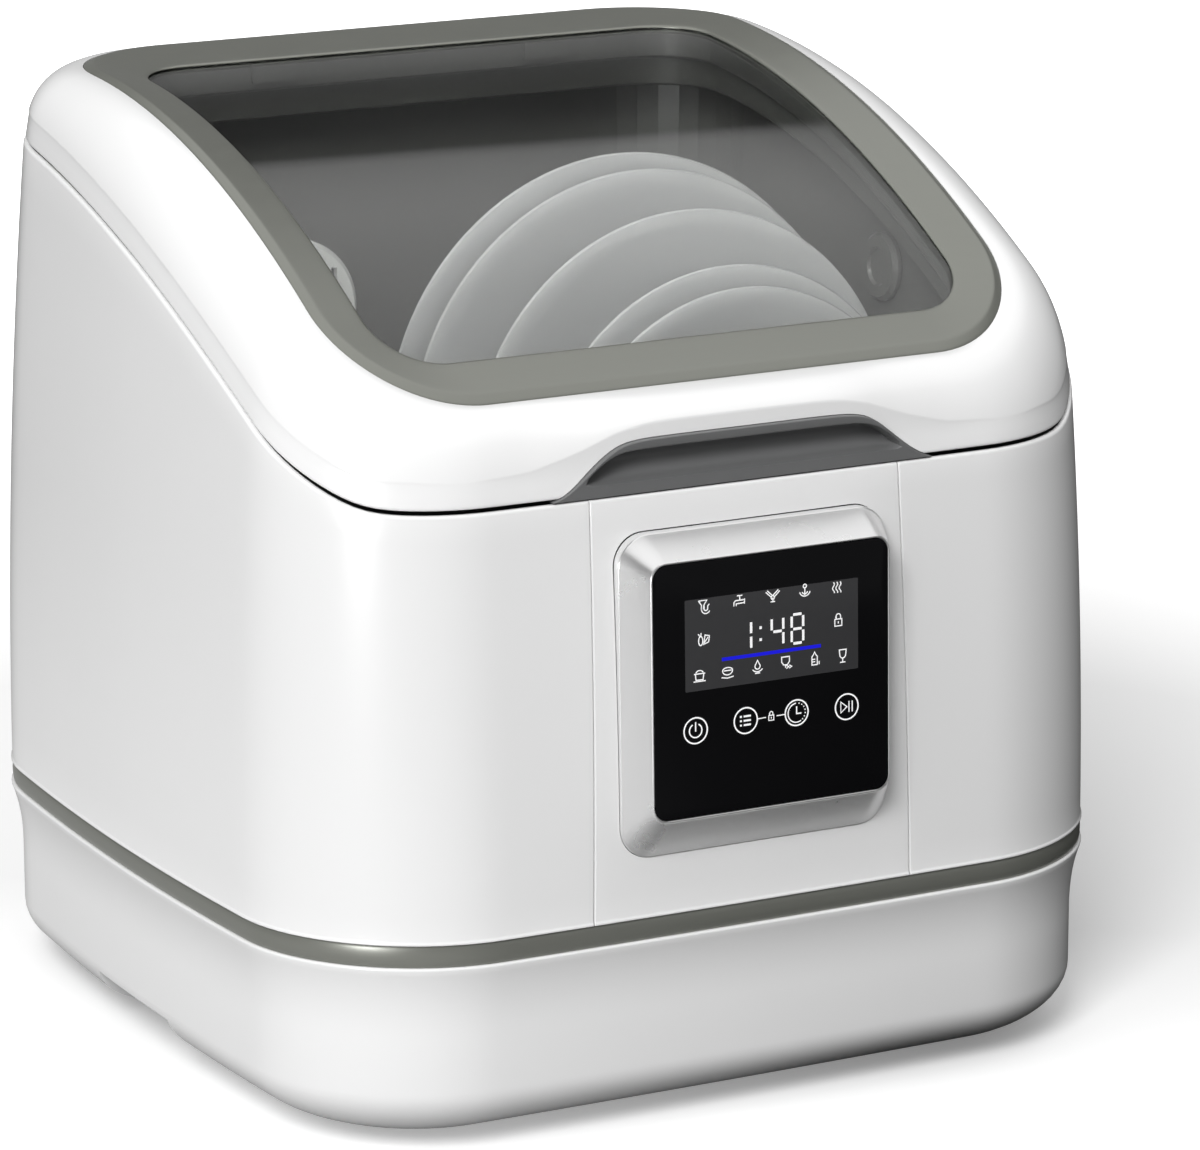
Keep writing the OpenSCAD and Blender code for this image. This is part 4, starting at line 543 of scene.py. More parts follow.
rear_rings = [rear_strip(REAR_LOW + d, back, REAR_HALF - back) for d, back in REAR_EDGE]
rear_rings += [rear_strip(z, 0, REAR_HALF) for z in np.linspace(130, REAR_HIGH - 0.5, 13)]
rear_rings += [rear_strip(REAR_HIGH - d, back, REAR_HALF - back) for d, back in REAR_EDGE[1::-1]]
rear_rings += [rear_strip(z, WALL, REAR_HALF) for z in (REAR_HIGH, *np.linspace(349, 117, 6), REAR_LOW)]
rear = build("rear_panel_shell", loft(rear_rings, wrap=False))
cut(rear, [slot(SLOT_X + SLOT_PITCH * i) for i in range(-SLOTS_EACH_SIDE, SLOTS_EACH_SIDE + 1)])
dress(rear, MAT["white_shell"], "machine", "white_shell", "rear_panel")

# ---- Trim band and base tray ----
BAND_ROWS = ((89, 1.8), (89.15, 1.45), (89.5, 1.2), (90.6, 0.9), (92.2, 0.68), (94, 0.6), (95.8, 0.68),
             (97.4, 0.9), (98.5, 1.2), (98.85, 1.45), (99, 1.8), (99, 4), (89, 4))
band = build("trim_band_bright", loft([wall(ALL, z, i) for z, i in BAND_ROWS]))
dress(band, MAT["taupe_metal"], "machine", "taupe_metal", "trim_band")

# The base's wall stands back from the band and rounds over at the bottom
BASE_INSET, BASE_Z, BOTTOM_RISE, BOTTOM_REACH = 5, 5, 26, 46
# Hollow under the band: where it starts, how far it climbs and how late it turns outwards
COVE_Z, COVE_RISE, COVE_POWER = 56, 31.8, 2.4
RIM_ROWS = ((88.1, 0), (88.5, 0.1), (88.8, 0.35), (88.97, 0.75), (BAND_Z, 1.1))
RIM_BACK = 2.2
# Hand grips: half length at the floor and at the top, height, inner face and outer end of the tool
HAND_LOW, HAND_HIGH, HAND_TOP, HAND_FACE, HAND_END = 48, 38, 27, 182, 260
# Opening for the service plate: half width, half depth, corner radius, and the tool's two heights
SERVICE_W, SERVICE_D, SERVICE_R, SERVICE_TOOL = 100, 75, 12, (4, 12)
# Holes in the rear wall: drain, inlet and power gland, as x and radius
PORTS, PORT_Z, PORT_GAP = ((-96, 9.5), (108, 13), (0, 8)), 50, 0.3
PORT_TOOL = (183, 212)


def bottom_ring(a, t):
    """Ring of the rounded bottom edge, at an offset t into the wall."""
    z = BASE_Z + t + (BOTTOM_RISE - t) * (1 - cos(a))
    return wall(ALL, z, BASE_INSET + t + (BOTTOM_REACH - t) * (1 - sin(a)))


def cove_ring(v, t):
    return wall(ALL, COVE_Z + COVE_RISE * v, BASE_INSET * (1 - v ** COVE_POWER) + t)


def tray_rings(t):
    rings = [bottom_ring(radians(a), t) for a in np.linspace(0, 90, 15)]
    return rings + [cove_ring(v, t) for v in np.linspace(0, 1, 13)]


def grip_block(side, t):
    """Tool for a hand grip, grown by t."""
    top = HAND_TOP + t
    outline = [(-HAND_LOW - t, -1), (HAND_LOW + t, -1), (HAND_HIGH + t, top), (-HAND_HIGH - t, top)]
    return tool(prism(outline, 0, *sorted((side * (HAND_FACE - t), side * HAND_END))))


inner_solid = tool(loft(tray_rings(WALL) + [wall(ALL, BAND_Z + 1, WALL)], closed=False))
cut(inner_solid, [grip_block(s, WALL) for s in (-1, 1)])
tray_rows = tray_rings(0) + [wall(ALL, z, i) for z, i in RIM_ROWS] + [wall(ALL, BAND_Z, RIM_BACK)]
tray = build("base_tray_shell", loft(tray_rows, closed=False))
service = tool(loft([box_ring(BOX, SERVICE_W, SERVICE_D, SERVICE_R, z) for z in SERVICE_TOOL], closed=False))
ports = [tool(disc(1, (x, PORT_Z), r + PORT_GAP, *PORT_TOOL)) for x, r in PORTS]
cut(tray, [inner_solid] + [grip_block(s, 0) for s in (-1, 1)] + [service] + ports, sharp=32)
dress(tray, MAT["white_shell"], "machine", "white_shell", "base_tray")


# ---- Control surround and glass ----
def key_ring(g, z, r):
    return box_ring(BOX, KEY_W + g, KEY_H + g, r, z)


def frustum(t):
    """Plane slope of the surround from the wall to its face."""
    return mix(surround_ring(-0.4, 1.3), key_ring(1.5, 16.3, 8), t)


surround_rings = [surround_ring(0, -3), surround_ring(0, 0.7), surround_ring(-0.15, 1.1)]
surround_rings += [frustum(t) for t in (0, 0.02, 0.1, 0.3, 0.5, 0.7, 0.9, 0.98, 1)]
surround_rings += [key_ring(g, z, r) for g, z, r in (
    (1.3, 16.6, 7.5), (1.05, 16.85, 7.5), (0.8, FACE, 7.5), (0.6, FACE, 6.3), (0.3, 16.8, 6.3),
    (0.3, 14.3, 6.3), (-4, 14.3, 6), (-4, 11.5, 6))]
surround_rings += [surround_ring(-3, -3, 11)]
surround = build("control_surround_shell", loft([on_front(r) for r in surround_rings]), 30)
dress(surround, SATIN, "machine", "white_shell", "control_surround")

GLASS_ROWS = ((0, 14.5, 6), (0, 16.75, 6), (-0.08, 16.92, 5.9), (-0.25, FACE, 5.8))
glass_rings = [key_ring(*row) for row in GLASS_ROWS]
key_glass = build("control_glass_pane", loft([on_front(r) for r in glass_rings], closed=False), 30)
dress(key_glass, MAT["black_glass"], "machine", "black_glass", "control_glass")

# ---- Signs on the glass: lit display field, figures and plain pictograms ----
# How far the print stands over the glass and reaches into it
PRINT_LIFT, PRINT_SINK = 0.05, -0.02


def ribbon(points, width, loop=False):
    """Flat raised stroke along a polyline in the panel's own frame."""
    p = np.array(points, float)
    n = len(p)
    fwd, back = np.roll(p, -1, 0) - p, p - np.roll(p, 1, 0)
    if not loop:
        fwd[-1], back[0] = back[-1], fwd[0]
    fwd /= np.maximum(np.linalg.norm(fwd, axis=1, keepdims=True), 1e-9)
    back /= np.maximum(np.linalg.norm(back, axis=1, keepdims=True), 1e-9)
    side = fwd + back
    side /= np.maximum(np.linalg.norm(side, axis=1, keepdims=True), 1e-9)
    side = np.stack([-side[:, 1], side[:, 0]], 1)
    # A corner's points stand out further, so that the stroke keeps its width
    reach = width / 2 / np.clip(np.abs(np.sum(side * np.stack([-fwd[:, 1], fwd[:, 0]], 1), 1)), 0.6, 1)
    a, b = p + side * reach[:, None], p - side * reach[:, None]
    levels = (a, PRINT_SINK), (a, PRINT_LIFT), (b, PRINT_LIFT), (b, PRINT_SINK)
    rows = np.array([np.insert(q, 2, FACE + z, axis=1) for q, z in levels])
    faces = grid_faces(4, n, True, loop)
    if not loop:
        faces += [(0, n, 2 * n, 3 * n), (n - 1, 4 * n - 1, 3 * n - 1, 2 * n - 1)]
    return rows.reshape(-1, 3), faces


def arc(cx, cy, r, a0, a1, n=24, ry=None):
    t = np.radians(np.linspace(a0, a1, n))
    return [(cx + r * cos(a), cy + (ry or r) * sin(a)) for a in t]


def circle(cx, cy, r, n=17, ry=None):
    return arc(cx, cy, r, 0, 360, n, ry)


def signs_at(cx, cy, strokes, scale=1.0, width=0.5):
    """Ribbons for a sign's strokes, given from a point."""
    out = []
    for s in strokes:
        loop = s[0] == s[-1] and len(s) > 3
        pts = [(cx + scale * x, cy + scale * y) for x, y in (s[:-1] if loop else s)]
        out.append(ribbon(pts, width, loop=loop))
    return out


DRAIN = [[(-2.4, 2.4), (1.6, 2.4), (0.2, 0.4), (0.2, -1.2)] + arc(1.1, -1.2, 0.9, 180, 360, 9) +
         [(2.0, -0.2), (2.8, 0.6)],
         [(-2.4, 2.4), (-1.0, 0.4), (-1.0, -1.3)] + arc(1.1, -1.3, 2.1, 180, 330, 9)]
TAP = [[(-2.4, -2.2), (-2.4, -0.6), (-1.6, 0.2), (2.6, 0.2)], [(-1.3, -2.2), (-1.3, -1.2), (2.6, -1.1)],
       [(0.4, 0.3), (0.4, 2.0)], [(-0.9, 2.2), (1.7, 2.2)], [(2.7, 0.7), (2.7, -1.6)]]
SPRAY = [[(-3.4, 2.0), (-0.5, -0.6)], [(3.4, 2.0), (0.5, -0.6)], [(-2.7, 2.6), (-0.1, 0.2), (2.7, 2.6)],
         [(0, -0.6), (0, -2.4)], [(-1.1, -2.4), (1.1, -2.4)], circle(0, -0.6, 0.8)]
HEATING = [circle(0, 2.2, 0.8), [(0, 1.4), (0, -1.8)], arc(0, 0.4, 2.6, 195, 345, 17),
           arc(0, 0.2, 1.4, 200, 340, 13)]
DRYING = [[(x + 0.45 * sin(2.1 * t), 2.4 - 1.2 * t) for t in np.linspace(0, 4, 17)] for x in (-1.6, 0, 1.6)]
FRUIT = [circle(-1.2, -0.4, 1.0, ry=2.0), [(-1.6, 1.7), (-2.4, 2.7)], [(-1.1, 1.7), (-1.0, 3.0)],
         [(0.2, -2.0), (2.6, -1.2), (3.0, 1.4), (0.9, 2.0), (0.2, -2.0)], [(0.5, -1.4), (2.3, 0.9)]]
LOCK = [[(-1.7, 0.4), (1.7, 0.4), (1.7, -2.6), (-1.7, -2.6), (-1.7, 0.4)],
        [(-1.1, 0.4), (-1.1, 1.6)] + arc(0, 1.6, 1.1, 180, 0, 13) + [(1.1, 0.4)], [(0, -0.6), (0, -1.6)]]
POT = [[(-2.0, 0.6), (-1.7, -2.0), (1.7, -2.0), (2.0, 0.6)], [(-2.7, 0.7), (2.7, 0.7)],
       arc(0, 0.8, 1.8, 10, 170, 13, 1.3), [(-2.9, -2.6), (2.9, -2.6)]]
LEAF = [arc(0, 0.4, 2.4, 180, 360, 17, 1.9), arc(0, 0.4, 2.4, 0, 180, 17, 1.3),
        [(-2.9, -2.4), (0, -2.9), (2.9, -2.4)], [(-1.9, 0.4), (1.9, 0.4)]]
DROP = [[(0, 2.8), (1.0, 0.9)] + arc(0, 0.2, 1.25, 25, -205, 17) + [(0, 2.8)],
        arc(0, 0.4, 2.9, 215, 325, 13, 2.6), [(-1.2, -2.8), (1.2, -2.8)]]
RAPID = [[(-1.9, 2.6), (1.9, 2.6), (1.9, 0.4), (0.9, -0.9), (-0.9, -0.9), (-1.9, 0.4), (-1.9, 2.6)],
         [(0, -0.9), (0, -2.2)], [(0.4, -2.6), (1.6, -1.9), (0.4, -1.2)],
         [(1.8, -2.6), (3.0, -1.9), (1.8, -1.2)]]
BOTTLE = [[(-1.3, 1.0), (-1.3, -2.6), (1.3, -2.6), (1.3, 1.0), (0.6, 1.8), (0, 3.0), (-0.6, 1.8),
           (-1.3, 1.0)], [(-1.3, -0.2), (0.3, -0.2)], [(-1.3, -1.3), (0.3, -1.3)], [(2.2, -1.2), (2.2, -2.6)]]
GOBLET = [[(-1.7, 2.8), (1.7, 2.8), (1.5, 0.6)] + arc(0, 0.5, 1.4, 0, -180, 13) + [(-1.7, 2.8)],
          [(0, -0.9), (0, -2.6)], [(-1.3, -2.7), (1.3, -2.7)]]
SIGNS = ((-33, 36.0, DRAIN), (-16, 36.2, TAP), (0.4, 36.2, SPRAY), (16, 36.5, HEATING), (31.6, 36.2, DRYING),
         (-33.3, 21.4, FRUIT), (32.3, 21.9, LOCK), (-35.2, 6.2, POT), (-21.7, 6.2, LEAF), (-7.2, 6.4, DROP),
         (6.4, 6.4, RAPID), (20.6, 6.3, BOTTLE), (34.4, 5.8, GOBLET))
# Touch keys: power, programme list, delay clock, and start or pause
POWER_KEY, LIST_KEY, CLOCK_KEY, START_KEY = (-37.3, -17.6), (-13.1, -16.4), (11.7, -16.2), (36.3, -16.8)
KEY_R, CLOCK_R = 5.6, 4.2
POWER = [arc(0, 0, 3.0, 118, 422, 33), [(0, 3.7), (0, -0.4)]]
LIST = [[(x0, y), (x1, y)] for y in (-1.9, 0, 1.9) for x0, x1 in ((-2.8, -1.9), (-1.0, 2.5))]
HANDS = [[(0, 2.8), (0, -0.4), (2.3, -0.4)]]
DOTS = [arc(0, 0, CLOCK_R, a, a + 7, 3) for a in range(-50, 90, 20)]
START = [[(-2.9, 2.4), (-2.9, -2.4), (0.1, 0), (-2.9, 2.4)], [(1.1, 2.4), (1.1, -2.4)],
         [(2.7, 2.4), (2.7, -2.4)]]
# Dashes between the small lock and the keys to its two sides
DASHES = [[(-7.2, -16.4), (-3.3, -16.3)], [(1.9, -16.3), (5.9, -16.2)]]
parts = []
for cx, cy, sign in SIGNS:
    parts += signs_at(cx, cy, sign)
for kx, ky in (POWER_KEY, LIST_KEY, CLOCK_KEY, START_KEY):
    parts.append(ribbon(circle(kx, ky, KEY_R, 49)[:-1], 0.65, loop=True))
parts += signs_at(*POWER_KEY, POWER, width=0.6) + signs_at(*LIST_KEY, LIST, width=0.85)
parts += signs_at(*CLOCK_KEY, [arc(0, 0, CLOCK_R, 95, 300, 25)]) + signs_at(*CLOCK_KEY, HANDS, width=0.6)
parts += signs_at(*CLOCK_KEY, DOTS) + signs_at(*START_KEY, START)
parts += signs_at(0, 0, DASHES, width=0.45) + signs_at(-0.7, -16.0, LOCK, 0.72, 0.42)
SEGMENTS = {"1": "bc", "4": "fgbc", "8": "abcdefg"}
# Half height of a figure, the gap at a segment's end, and a segment's width
DIGIT_HALF, DIGIT_GAP, DIGIT_W = 6.3, 0.75, 1.15


def digit(figure, cx, cy, width=5.6):
    """Seven-segment figure."""
    hw, hh, g = width / 2, DIGIT_HALF, DIGIT_GAP
    seg = {"a": [(-hw + g, hh), (hw - g, hh)], "d": [(-hw + g, -hh), (hw - g, -hh)],
           "g": [(-hw + g, 0), (hw - g, 0)], "b": [(hw, hh - g), (hw, g)], "c": [(hw, -g), (hw, -hh + g)],
           "f": [(-hw, hh - g), (-hw, g)], "e": [(-hw, -g), (-hw, -hh + g)]}
    return signs_at(cx, cy, [seg[s] for s in SEGMENTS[figure]], width=DIGIT_W)


parts += digit("1", -12.2, 20.6, 4.0) + digit("4", 2.6, 20.6) + digit("8", 12.3, 20.6)
parts += [ribbon([(-5.6, y), (-5.6, y + 1.2)], 1.2) for y in (17.4, 22.6)]
v, f = join(parts)
signs = build("panel_signs", (on_front(v), f), 60)
dress(signs, PRINT_WHITE_PAINTED_GLOW, "machine", "vent_white")
v, f = ribbon([(-24.4, 11.7), (23.7, 11.7)], 1.5)
bar = build("panel_bar", (on_front(v), f), 60)
dress(bar, PRINT_BLUE, "machine", "display")
# Display field: half width, half height, corner radius and its middle's height
FIELD_W, FIELD_H, FIELD_R, FIELD_Y = 42, 19.9, 0.6, 19.4
field_rings = [on_front(box_ring(BOX, FIELD_W - g, FIELD_H - g, FIELD_R, FACE + z, FIELD_Y))
               for g, z in ((0, -0.02), (0, 0.015), (0.02, 0.02))]
field = build("display_field", loft(field_rings, closed=False), 60)
dress(field, MAT["display"], "machine", "display")

# ---- Window frame and glass ----
WIN = stations(24, 28)
FRAME_SECTION = [
    (0.01, -2.7), (0.01, -0.15), (0.018, 0.1), (0.04, 0.45), (0.12, 1.45), (0.145, 1.7), (0.17, 1.8),
    (0.2, 1.74), (0.25, 1.52), (0.4, 0.86), (0.6, -0.02), (0.8, -0.9), (0.93, -1.46), (0.965, -1.68),
    (0.987, -2.0), (1.0, -2.4), (1.0, -2.7), (0.6, -2.7)]
window_frame = build("window_frame_band", loft([window(WIN, t, h) for t, h in FRAME_SECTION]), 30)
dress(window_frame, MAT["taupe_metal"], "lid", "taupe_metal", "window_frame")
# Window glass: half width, half depth, corner radius, its middle, how deep it lies and how thick it is
PANE_W, PANE_D, PANE_R, PANE_Y, PANE_DROP, PANE_T = 149.44, 145.34, 36.12, -7.02, 3.3, 4


def pane():
    """Slab that follows the lid's top, as a grid of rows across the machine."""
    turn = PANE_R * (1 - np.cos(np.linspace(0, pi / 2, 9)[1:]))
    straight = np.linspace(PANE_R - PANE_D, PANE_D - PANE_R, 41)[1:-1]
    rows = np.concatenate([[-PANE_D], turn - PANE_D, straight, PANE_D - turn[::-1], [PANE_D]])
    over = np.maximum(np.abs(rows) - (PANE_D - PANE_R), 0)
    half = PANE_W - PANE_R + np.sqrt(np.maximum(PANE_R * PANE_R - over * over, 0))
    x = half[:, None] * np.linspace(-1, 1, 13)[None, :]
    y = np.repeat((rows + PANE_Y)[:, None], x.shape[1], 1)
    top = np.stack([x, y, top_z(y) - PANE_DROP], 2)
    m, n = x.shape
    v = np.concatenate([top.reshape(-1, 3), (top - [0, 0, PANE_T]).reshape(-1, 3)])
    f = grid_faces(m, n, False, False) + grid_faces(m, n, False, False, m * n)
    loop = list(range(n)) + [j * n + n - 1 for j in range(1, m)]
    loop += [(m - 1) * n + i for i in range(n - 2, -1, -1)] + [j * n for j in range(m - 2, 0, -1)]
    return v, f + [(a, b, b + m * n, a + m * n) for a, b in zip(loop, loop[1:] + loop[:1])]


dress(build("window_pane", pane(), 50), MAT["window_glass"], "lid", "window_glass", "window_glass")

# ---- Lid shell ----
LID = stations(24, 40)
LSEAM = seam(LID)
EDGE_Y = wall(LID, LSEAM)[:, 1]
# The lid's lower edge stands over the seam, a little more at the front and most at the rear
RIM = LSEAM + 1.2 + 3.1 * np.clip((EDGE_Y - 178) / 8, 0, 1) + 0.7 * np.clip((-110 - EDGE_Y) / 50, 0, 1) ** 2
# Inward slope of the skirt and the height up to which it leans
SKIRT_SLOPE, SKIRT_H = 0.17, 11
# Height of the crease away from the grip, and over the grip: distance from the middle and height
CREASE_H = 12.0
ARCH_X = [0, 38, 50, 62, 78, 100, 128]
ARCH_Z = [313.4, 313.2, 312.2, 309.6, 303.5, 297.4, 295.4]
# Where the arch starts to show on the way to the front, and over what depth it takes over
ARCH_Y, ARCH_RUN = -186, 6
# Height at which the crown starts on the inside, and the slope at its start on the outside
INNER_FOOT, START_ANGLE = 8, radians(19)


def skirt(h, t):
    """Ring of the lid's upright skirt at a height over its rim and an inward offset."""
    p = wall(LID, LSEAM, LID_STEP + t + SKIRT_SLOPE * np.clip(h + 0 * RIM, 0, SKIRT_H))
    p[:, 2] = RIM + h
    return p


def skirt_height():
    """Height of the crease between the lid's upright skirt and its crown; it rises over the grip."""
    p = skirt(0, 0)
    arch = np.interp(np.abs(p[:, 0]), ARCH_X, ARCH_Z)
    return mix(CREASE_H, arch - RIM, np.clip((ARCH_Y - p[:, 1]) / ARCH_RUN, 0, 1))


CREASE = skirt_height()


def crown(a, t, a0=0.0, foot=INNER_FOOT):
    """Ring of the lid's crown from the skirt (a = a0) to the window frame (a = 90 degrees)."""
    p, q = skirt(CREASE, t), window(LID, 0, -2 * t, -t)
    out = mix(p, q, (cos(a0) - cos(a)) / cos(a0))
    out[:, 2] = mix(RIM + foot, q[:, 2], (sin(a) - sin(a0)) / (1 - sin(a0)))
    return out


SKIRT_START = 1.6
lid_rings = [skirt(h, t) for h, t in ((0.0, 1.1), (0.12, 0.62), (0.42, 0.26), (0.9, 0.06), (SKIRT_START, 0))]
lid_rings += [skirt(mix(SKIRT_START, CREASE, k), 0) for k in (0.45, 0.85, 0.955)]
for k in [0, 0.012, 0.03, 0.06] + list(np.linspace(0.1, 1, 24)):
    lid_rings.append(crown(mix(START_ANGLE, pi / 2, k), 0, START_ANGLE, CREASE))
lid_rings += [window(LID, t, h) for t, h in ((0, -WALL), (0.6, -WALL), (0.6, -2 * WALL))]
lid_rings += [crown(radians(a), WALL) for a in np.linspace(90, 0, 9)] + [skirt(0, WALL)]
# Notches for the hinges: half width, radius, and how far they reach down and to the rear
NOTCH_W, NOTCH_R, NOTCH_DROP, NOTCH_REAR = 13, 7.4, 12, 14.6


def notches():
    out = []
    for side in (-1, 1):
        lo, hi = side * HINGE_X - NOTCH_W, side * HINGE_X + NOTCH_W
        corner = (lo, HINGE_Y - NOTCH_R, HINGE_Z - NOTCH_DROP)
        out.append(tool(disc(0, (HINGE_Y, HINGE_Z), NOTCH_R, lo, hi)))
        out.append(tool(block(corner, (hi, HINGE_Y + NOTCH_REAR, HINGE_Z))))
    return out


# ---- Grip: a scooped recess in the front of the lid ----
# Right half of its outer and inner outline as x and height, from the lower end to the middle
GRIP_OUT = [(92, 283.3), (86.5, 285.4), (81.5, 288.5), (76, 292.8), (70.8, 297.0), (65.0, 301.2),
            (58.5, 304.3), (50, 305.7), (38, 306.1), (20, 306.2), (0, 306.2)]
GRIP_IN = [(66, 288.3), (72.6, 288.4), (76.0, 289.3), (75.4, 291.3), (72.0, 294.3), (68.2, 297.1),
           (63.5, 299.7), (57, 301.4), (46, 302.0), (24, 302.1), (0, 302.1)]
# Points between two given ones, and points of the finished run
FINE_STEPS, RUN_POINTS = 12, 36
GRIP_LOW, GRIP_HIGH, GRIP_HALF = 288.3, 302.1, 76
# Outer face of the grip's rim and the rear end of its body
LID_FRONT = front_y(SEAM_Z) + LID_STEP
FACE_Y, HOOK_Y = LID_FRONT - 0.4, LID_FRONT + 13


def smooth_run(points):
    """Points at even spacing along a smooth curve through the given ones."""
    p = np.array(points, float)
    p = np.concatenate([[2 * p[0] - p[1]], p, [[-p[-2][0], p[-2][1]]]])
    fine = []
    for i in range(1, len(p) - 2):
        a, b, c, d = p[i - 1:i + 3]
        for t in np.linspace(0, 1, FINE_STEPS, endpoint=False):
            curve = (2 * a - 5 * b + 4 * c - d) * t * t + (3 * b - a - 3 * c + d) * t ** 3
            fine.append(0.5 * (2 * b + (c - a) * t + curve))
    fine = np.array(fine + [p[-2]])
    run = np.concatenate([[0], np.cumsum(np.linalg.norm(np.diff(fine, axis=0), axis=1))])
    at = np.linspace(0, run[-1], RUN_POINTS)
    return np.stack([np.interp(at, run, fine[:, 0]), np.interp(at, run, fine[:, 1])], 1)


def both_halves(run):
    """The right half of an outline, joined by its mirror image on the left."""
    return np.concatenate([run, run[-2::-1] * [-1, 1]])


def grip_loop(run, y):
    return np.insert(both_halves(run), 1, y, axis=1)


def inward(run, d):
    """The run moved towards its own middle by d."""
    step = np.gradient(run, axis=0)
    step /= np.linalg.norm(step, axis=1, keepdims=True)
    moved = run + np.stack([-step[:, 1], step[:, 0]], 1) * d
    moved[:, 1] = np.maximum(moved[:, 1], run[0, 1])
    moved[-1, 0] = 0
    return moved


out_run, in_run = smooth_run(GRIP_OUT), smooth_run(GRIP_IN)


def recess(depth, low, high, side):
    """Ring of the recess at a depth, between two heights and drawn in at the sides."""
    x = in_run[:, 0] * (1 - side / GRIP_HALF)
    z = low + (in_run[:, 1] - GRIP_LOW) * (high - low) / (GRIP_HIGH - GRIP_LOW)
    return grip_loop(np.stack([x, z], 1), FACE_Y + depth)


lid = build("lid_shell_crown", loft(lid_rings), 34)
# Opening for the grip: 0.3 mm wider than it, down past the lid's edge and out through the front
edge_run = both_halves(inward(out_run, -0.3))
OPENING_LOW, OPENING_FRONT = 270, 60
right_low, left_low = (edge_run[0][0] + 1, OPENING_LOW), (edge_run[-1][0] - 1, OPENING_LOW)
opening = [right_low] + [tuple(q) for q in edge_run] + [left_low]
cut(lid, notches() + [tool(prism(opening, 1, HOOK_Y - OPENING_FRONT, HOOK_Y))], sharp=34)
dress(lid, LID_WHITE_PAINTED_LIGHTER, "lid", "white_shell", "lid_shell")

grip_rings = [grip_loop(out_run, HOOK_Y - 0.2), grip_loop(out_run, FACE_Y + 0.7)]
grip_rings += [grip_loop(inward(out_run, d), FACE_Y + back) for d, back in ((0.12, 0.25), (0.45, 0))]
grip_rings += [grip_loop(inward(in_run, d), FACE_Y + back) for d, back in ((-0.9, 0), (-0.3, 0.2))]
grip_rings += [recess(*row) for row in (
    (0.8, 288.5, 302.0, 0.1), (2.2, 288.8, 301.9, 0.5), (4.4, 289.2, 301.7, 1.2),
    (6.6, 289.9, 301.4, 2.0), (8.6, 291.2, 301.0, 3.0), (10.2, 293.2, 300.4, 4.2),
    (11.2, 295.0, 299.6, 5.6), (11.6, 296.2, 298.6, 7.5))]
grip = build("grip_scoop", loft(grip_rings, closed=False), 34)
dress(grip, MAT["grip_grey"], "lid", "grip_grey", "grip_insert")


# ---- Lid liner ----
# Mouth of the tub under the lid: half width, half depth and corner radius
MOUTH_PLAN = (168, 163, 52)
# Inset of the liner's outer edge from the wall, and the space kept free for the grip
LINER_INSET, SPACE_HALF, SPACE_FRONT, SPACE_HIGH = 5.1, 94, -300, 315


def tub_wall(grow, drop):
    x, y = plan(LID, *[size + grow for size in MOUTH_PLAN])
    return np.stack([x, y, LSEAM - drop], 1)


liner_rings = [wall(LID, LSEAM + rise, LINER_INSET) for rise in (5.7, 7.7)] + [tub_wall(2, -7.7)]
liner_rings += [window(LID, t, h) for t, h in (
    (0.75, -9.5), (0.5, -9.5), (0.5, -7.5), (0.95, -7.5), (0.94, -18), (0.92, -18.8), (0.8, -19.4),
    (0.76, -20.2), (0.74, -32), (0.7, -33), (0.6, -32))]
liner = build("lid_liner_shell", loft(liner_rings + [tub_wall(-1, -2.6)]), 30)
grip_space = tool(block((-SPACE_HALF, SPACE_FRONT, SEAM_Z), (SPACE_HALF, HOOK_Y + WALL, SPACE_HIGH)))
cut(liner, notches() + [grip_space], sharp=30)
dress(liner, MAT["dark_liner"], "lid", "dark_liner", "lid_liner")

# ---- Plates in the basket ----
# Rows of a plate's section: share of its radius and height over its back
PLATE_SECTION = [
    (0.36, 0.2), (0.56, 0.6), (0.62, 1.6), (0.68, 3.6), (0.78, 7.0), (0.9, 10.0), (0.985, 12.4),
    (1.0, 13.4), (0.995, 14.6), (0.975, 15.2), (0.9, 13.4), (0.78, 10.6), (0.69, 8.2), (0.63, 6.2),
    (0.55, 4.9), (0.36, 4.4)]
TURN = np.linspace(0, 2 * pi, 96, endpoint=False)


def plate(name, x, y, z, r):
    """Glazed plate standing upright in the basket."""
    rings = [np.stack([x + q * r * np.cos(TURN), 0 * TURN + y - h, z + q * r * np.sin(TURN)], 1)
             for q, h in PLATE_SECTION]
    return dress(build(name, loft(rings, closed=False), 40), PORCELAIN_SHADED, "basket", "light_plastic")


plate("plate_1", 32, -4, 274, 116)
plate("plate_2", 36, -14.5, 270.5, 113.5)
plate("plate_3", 43, -46.5, 264, 107)
plate("plate_4", 53, -67, 254, 95)
plate("plate_5", 55, -78, 250, 91)

# ---- CAD nodes that stay ----
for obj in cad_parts.values():
    for s in obj.material_slots:
        base = s.material.name.split(".")[0] if s.material else ""
        if base in MAT:
            s.material = MAT[base]

# ---- Floor ----
FLOOR_HALF = 14
m, nt, out = new_material("studio_floor")
path = node(nt, "ShaderNodeLightPath")
place = node(nt, "ShaderNodeTexCoord").outputs["Object"]
reach = node(nt, "ShaderNodeVectorMath", operation="LENGTH")
ahead = node(nt, "ShaderNodeVectorMath", operation="DOT_PRODUCT")
side = node(nt, "ShaderNodeSeparateXYZ")
tone = node(nt, "ShaderNodeMix", data_type="RGBA")
diffuse = node(nt, "ShaderNodeBsdfDiffuse")
glow = node(nt, "ShaderNodeEmission", Color=(1, 1, 1, 1))
total = node(nt, "ShaderNodeAddShader")
ahead.inputs[1].default_value = (-0.6, -0.8, 0)
for entry in (reach, ahead, side):
    nt.links.new(place, entry.inputs[0])
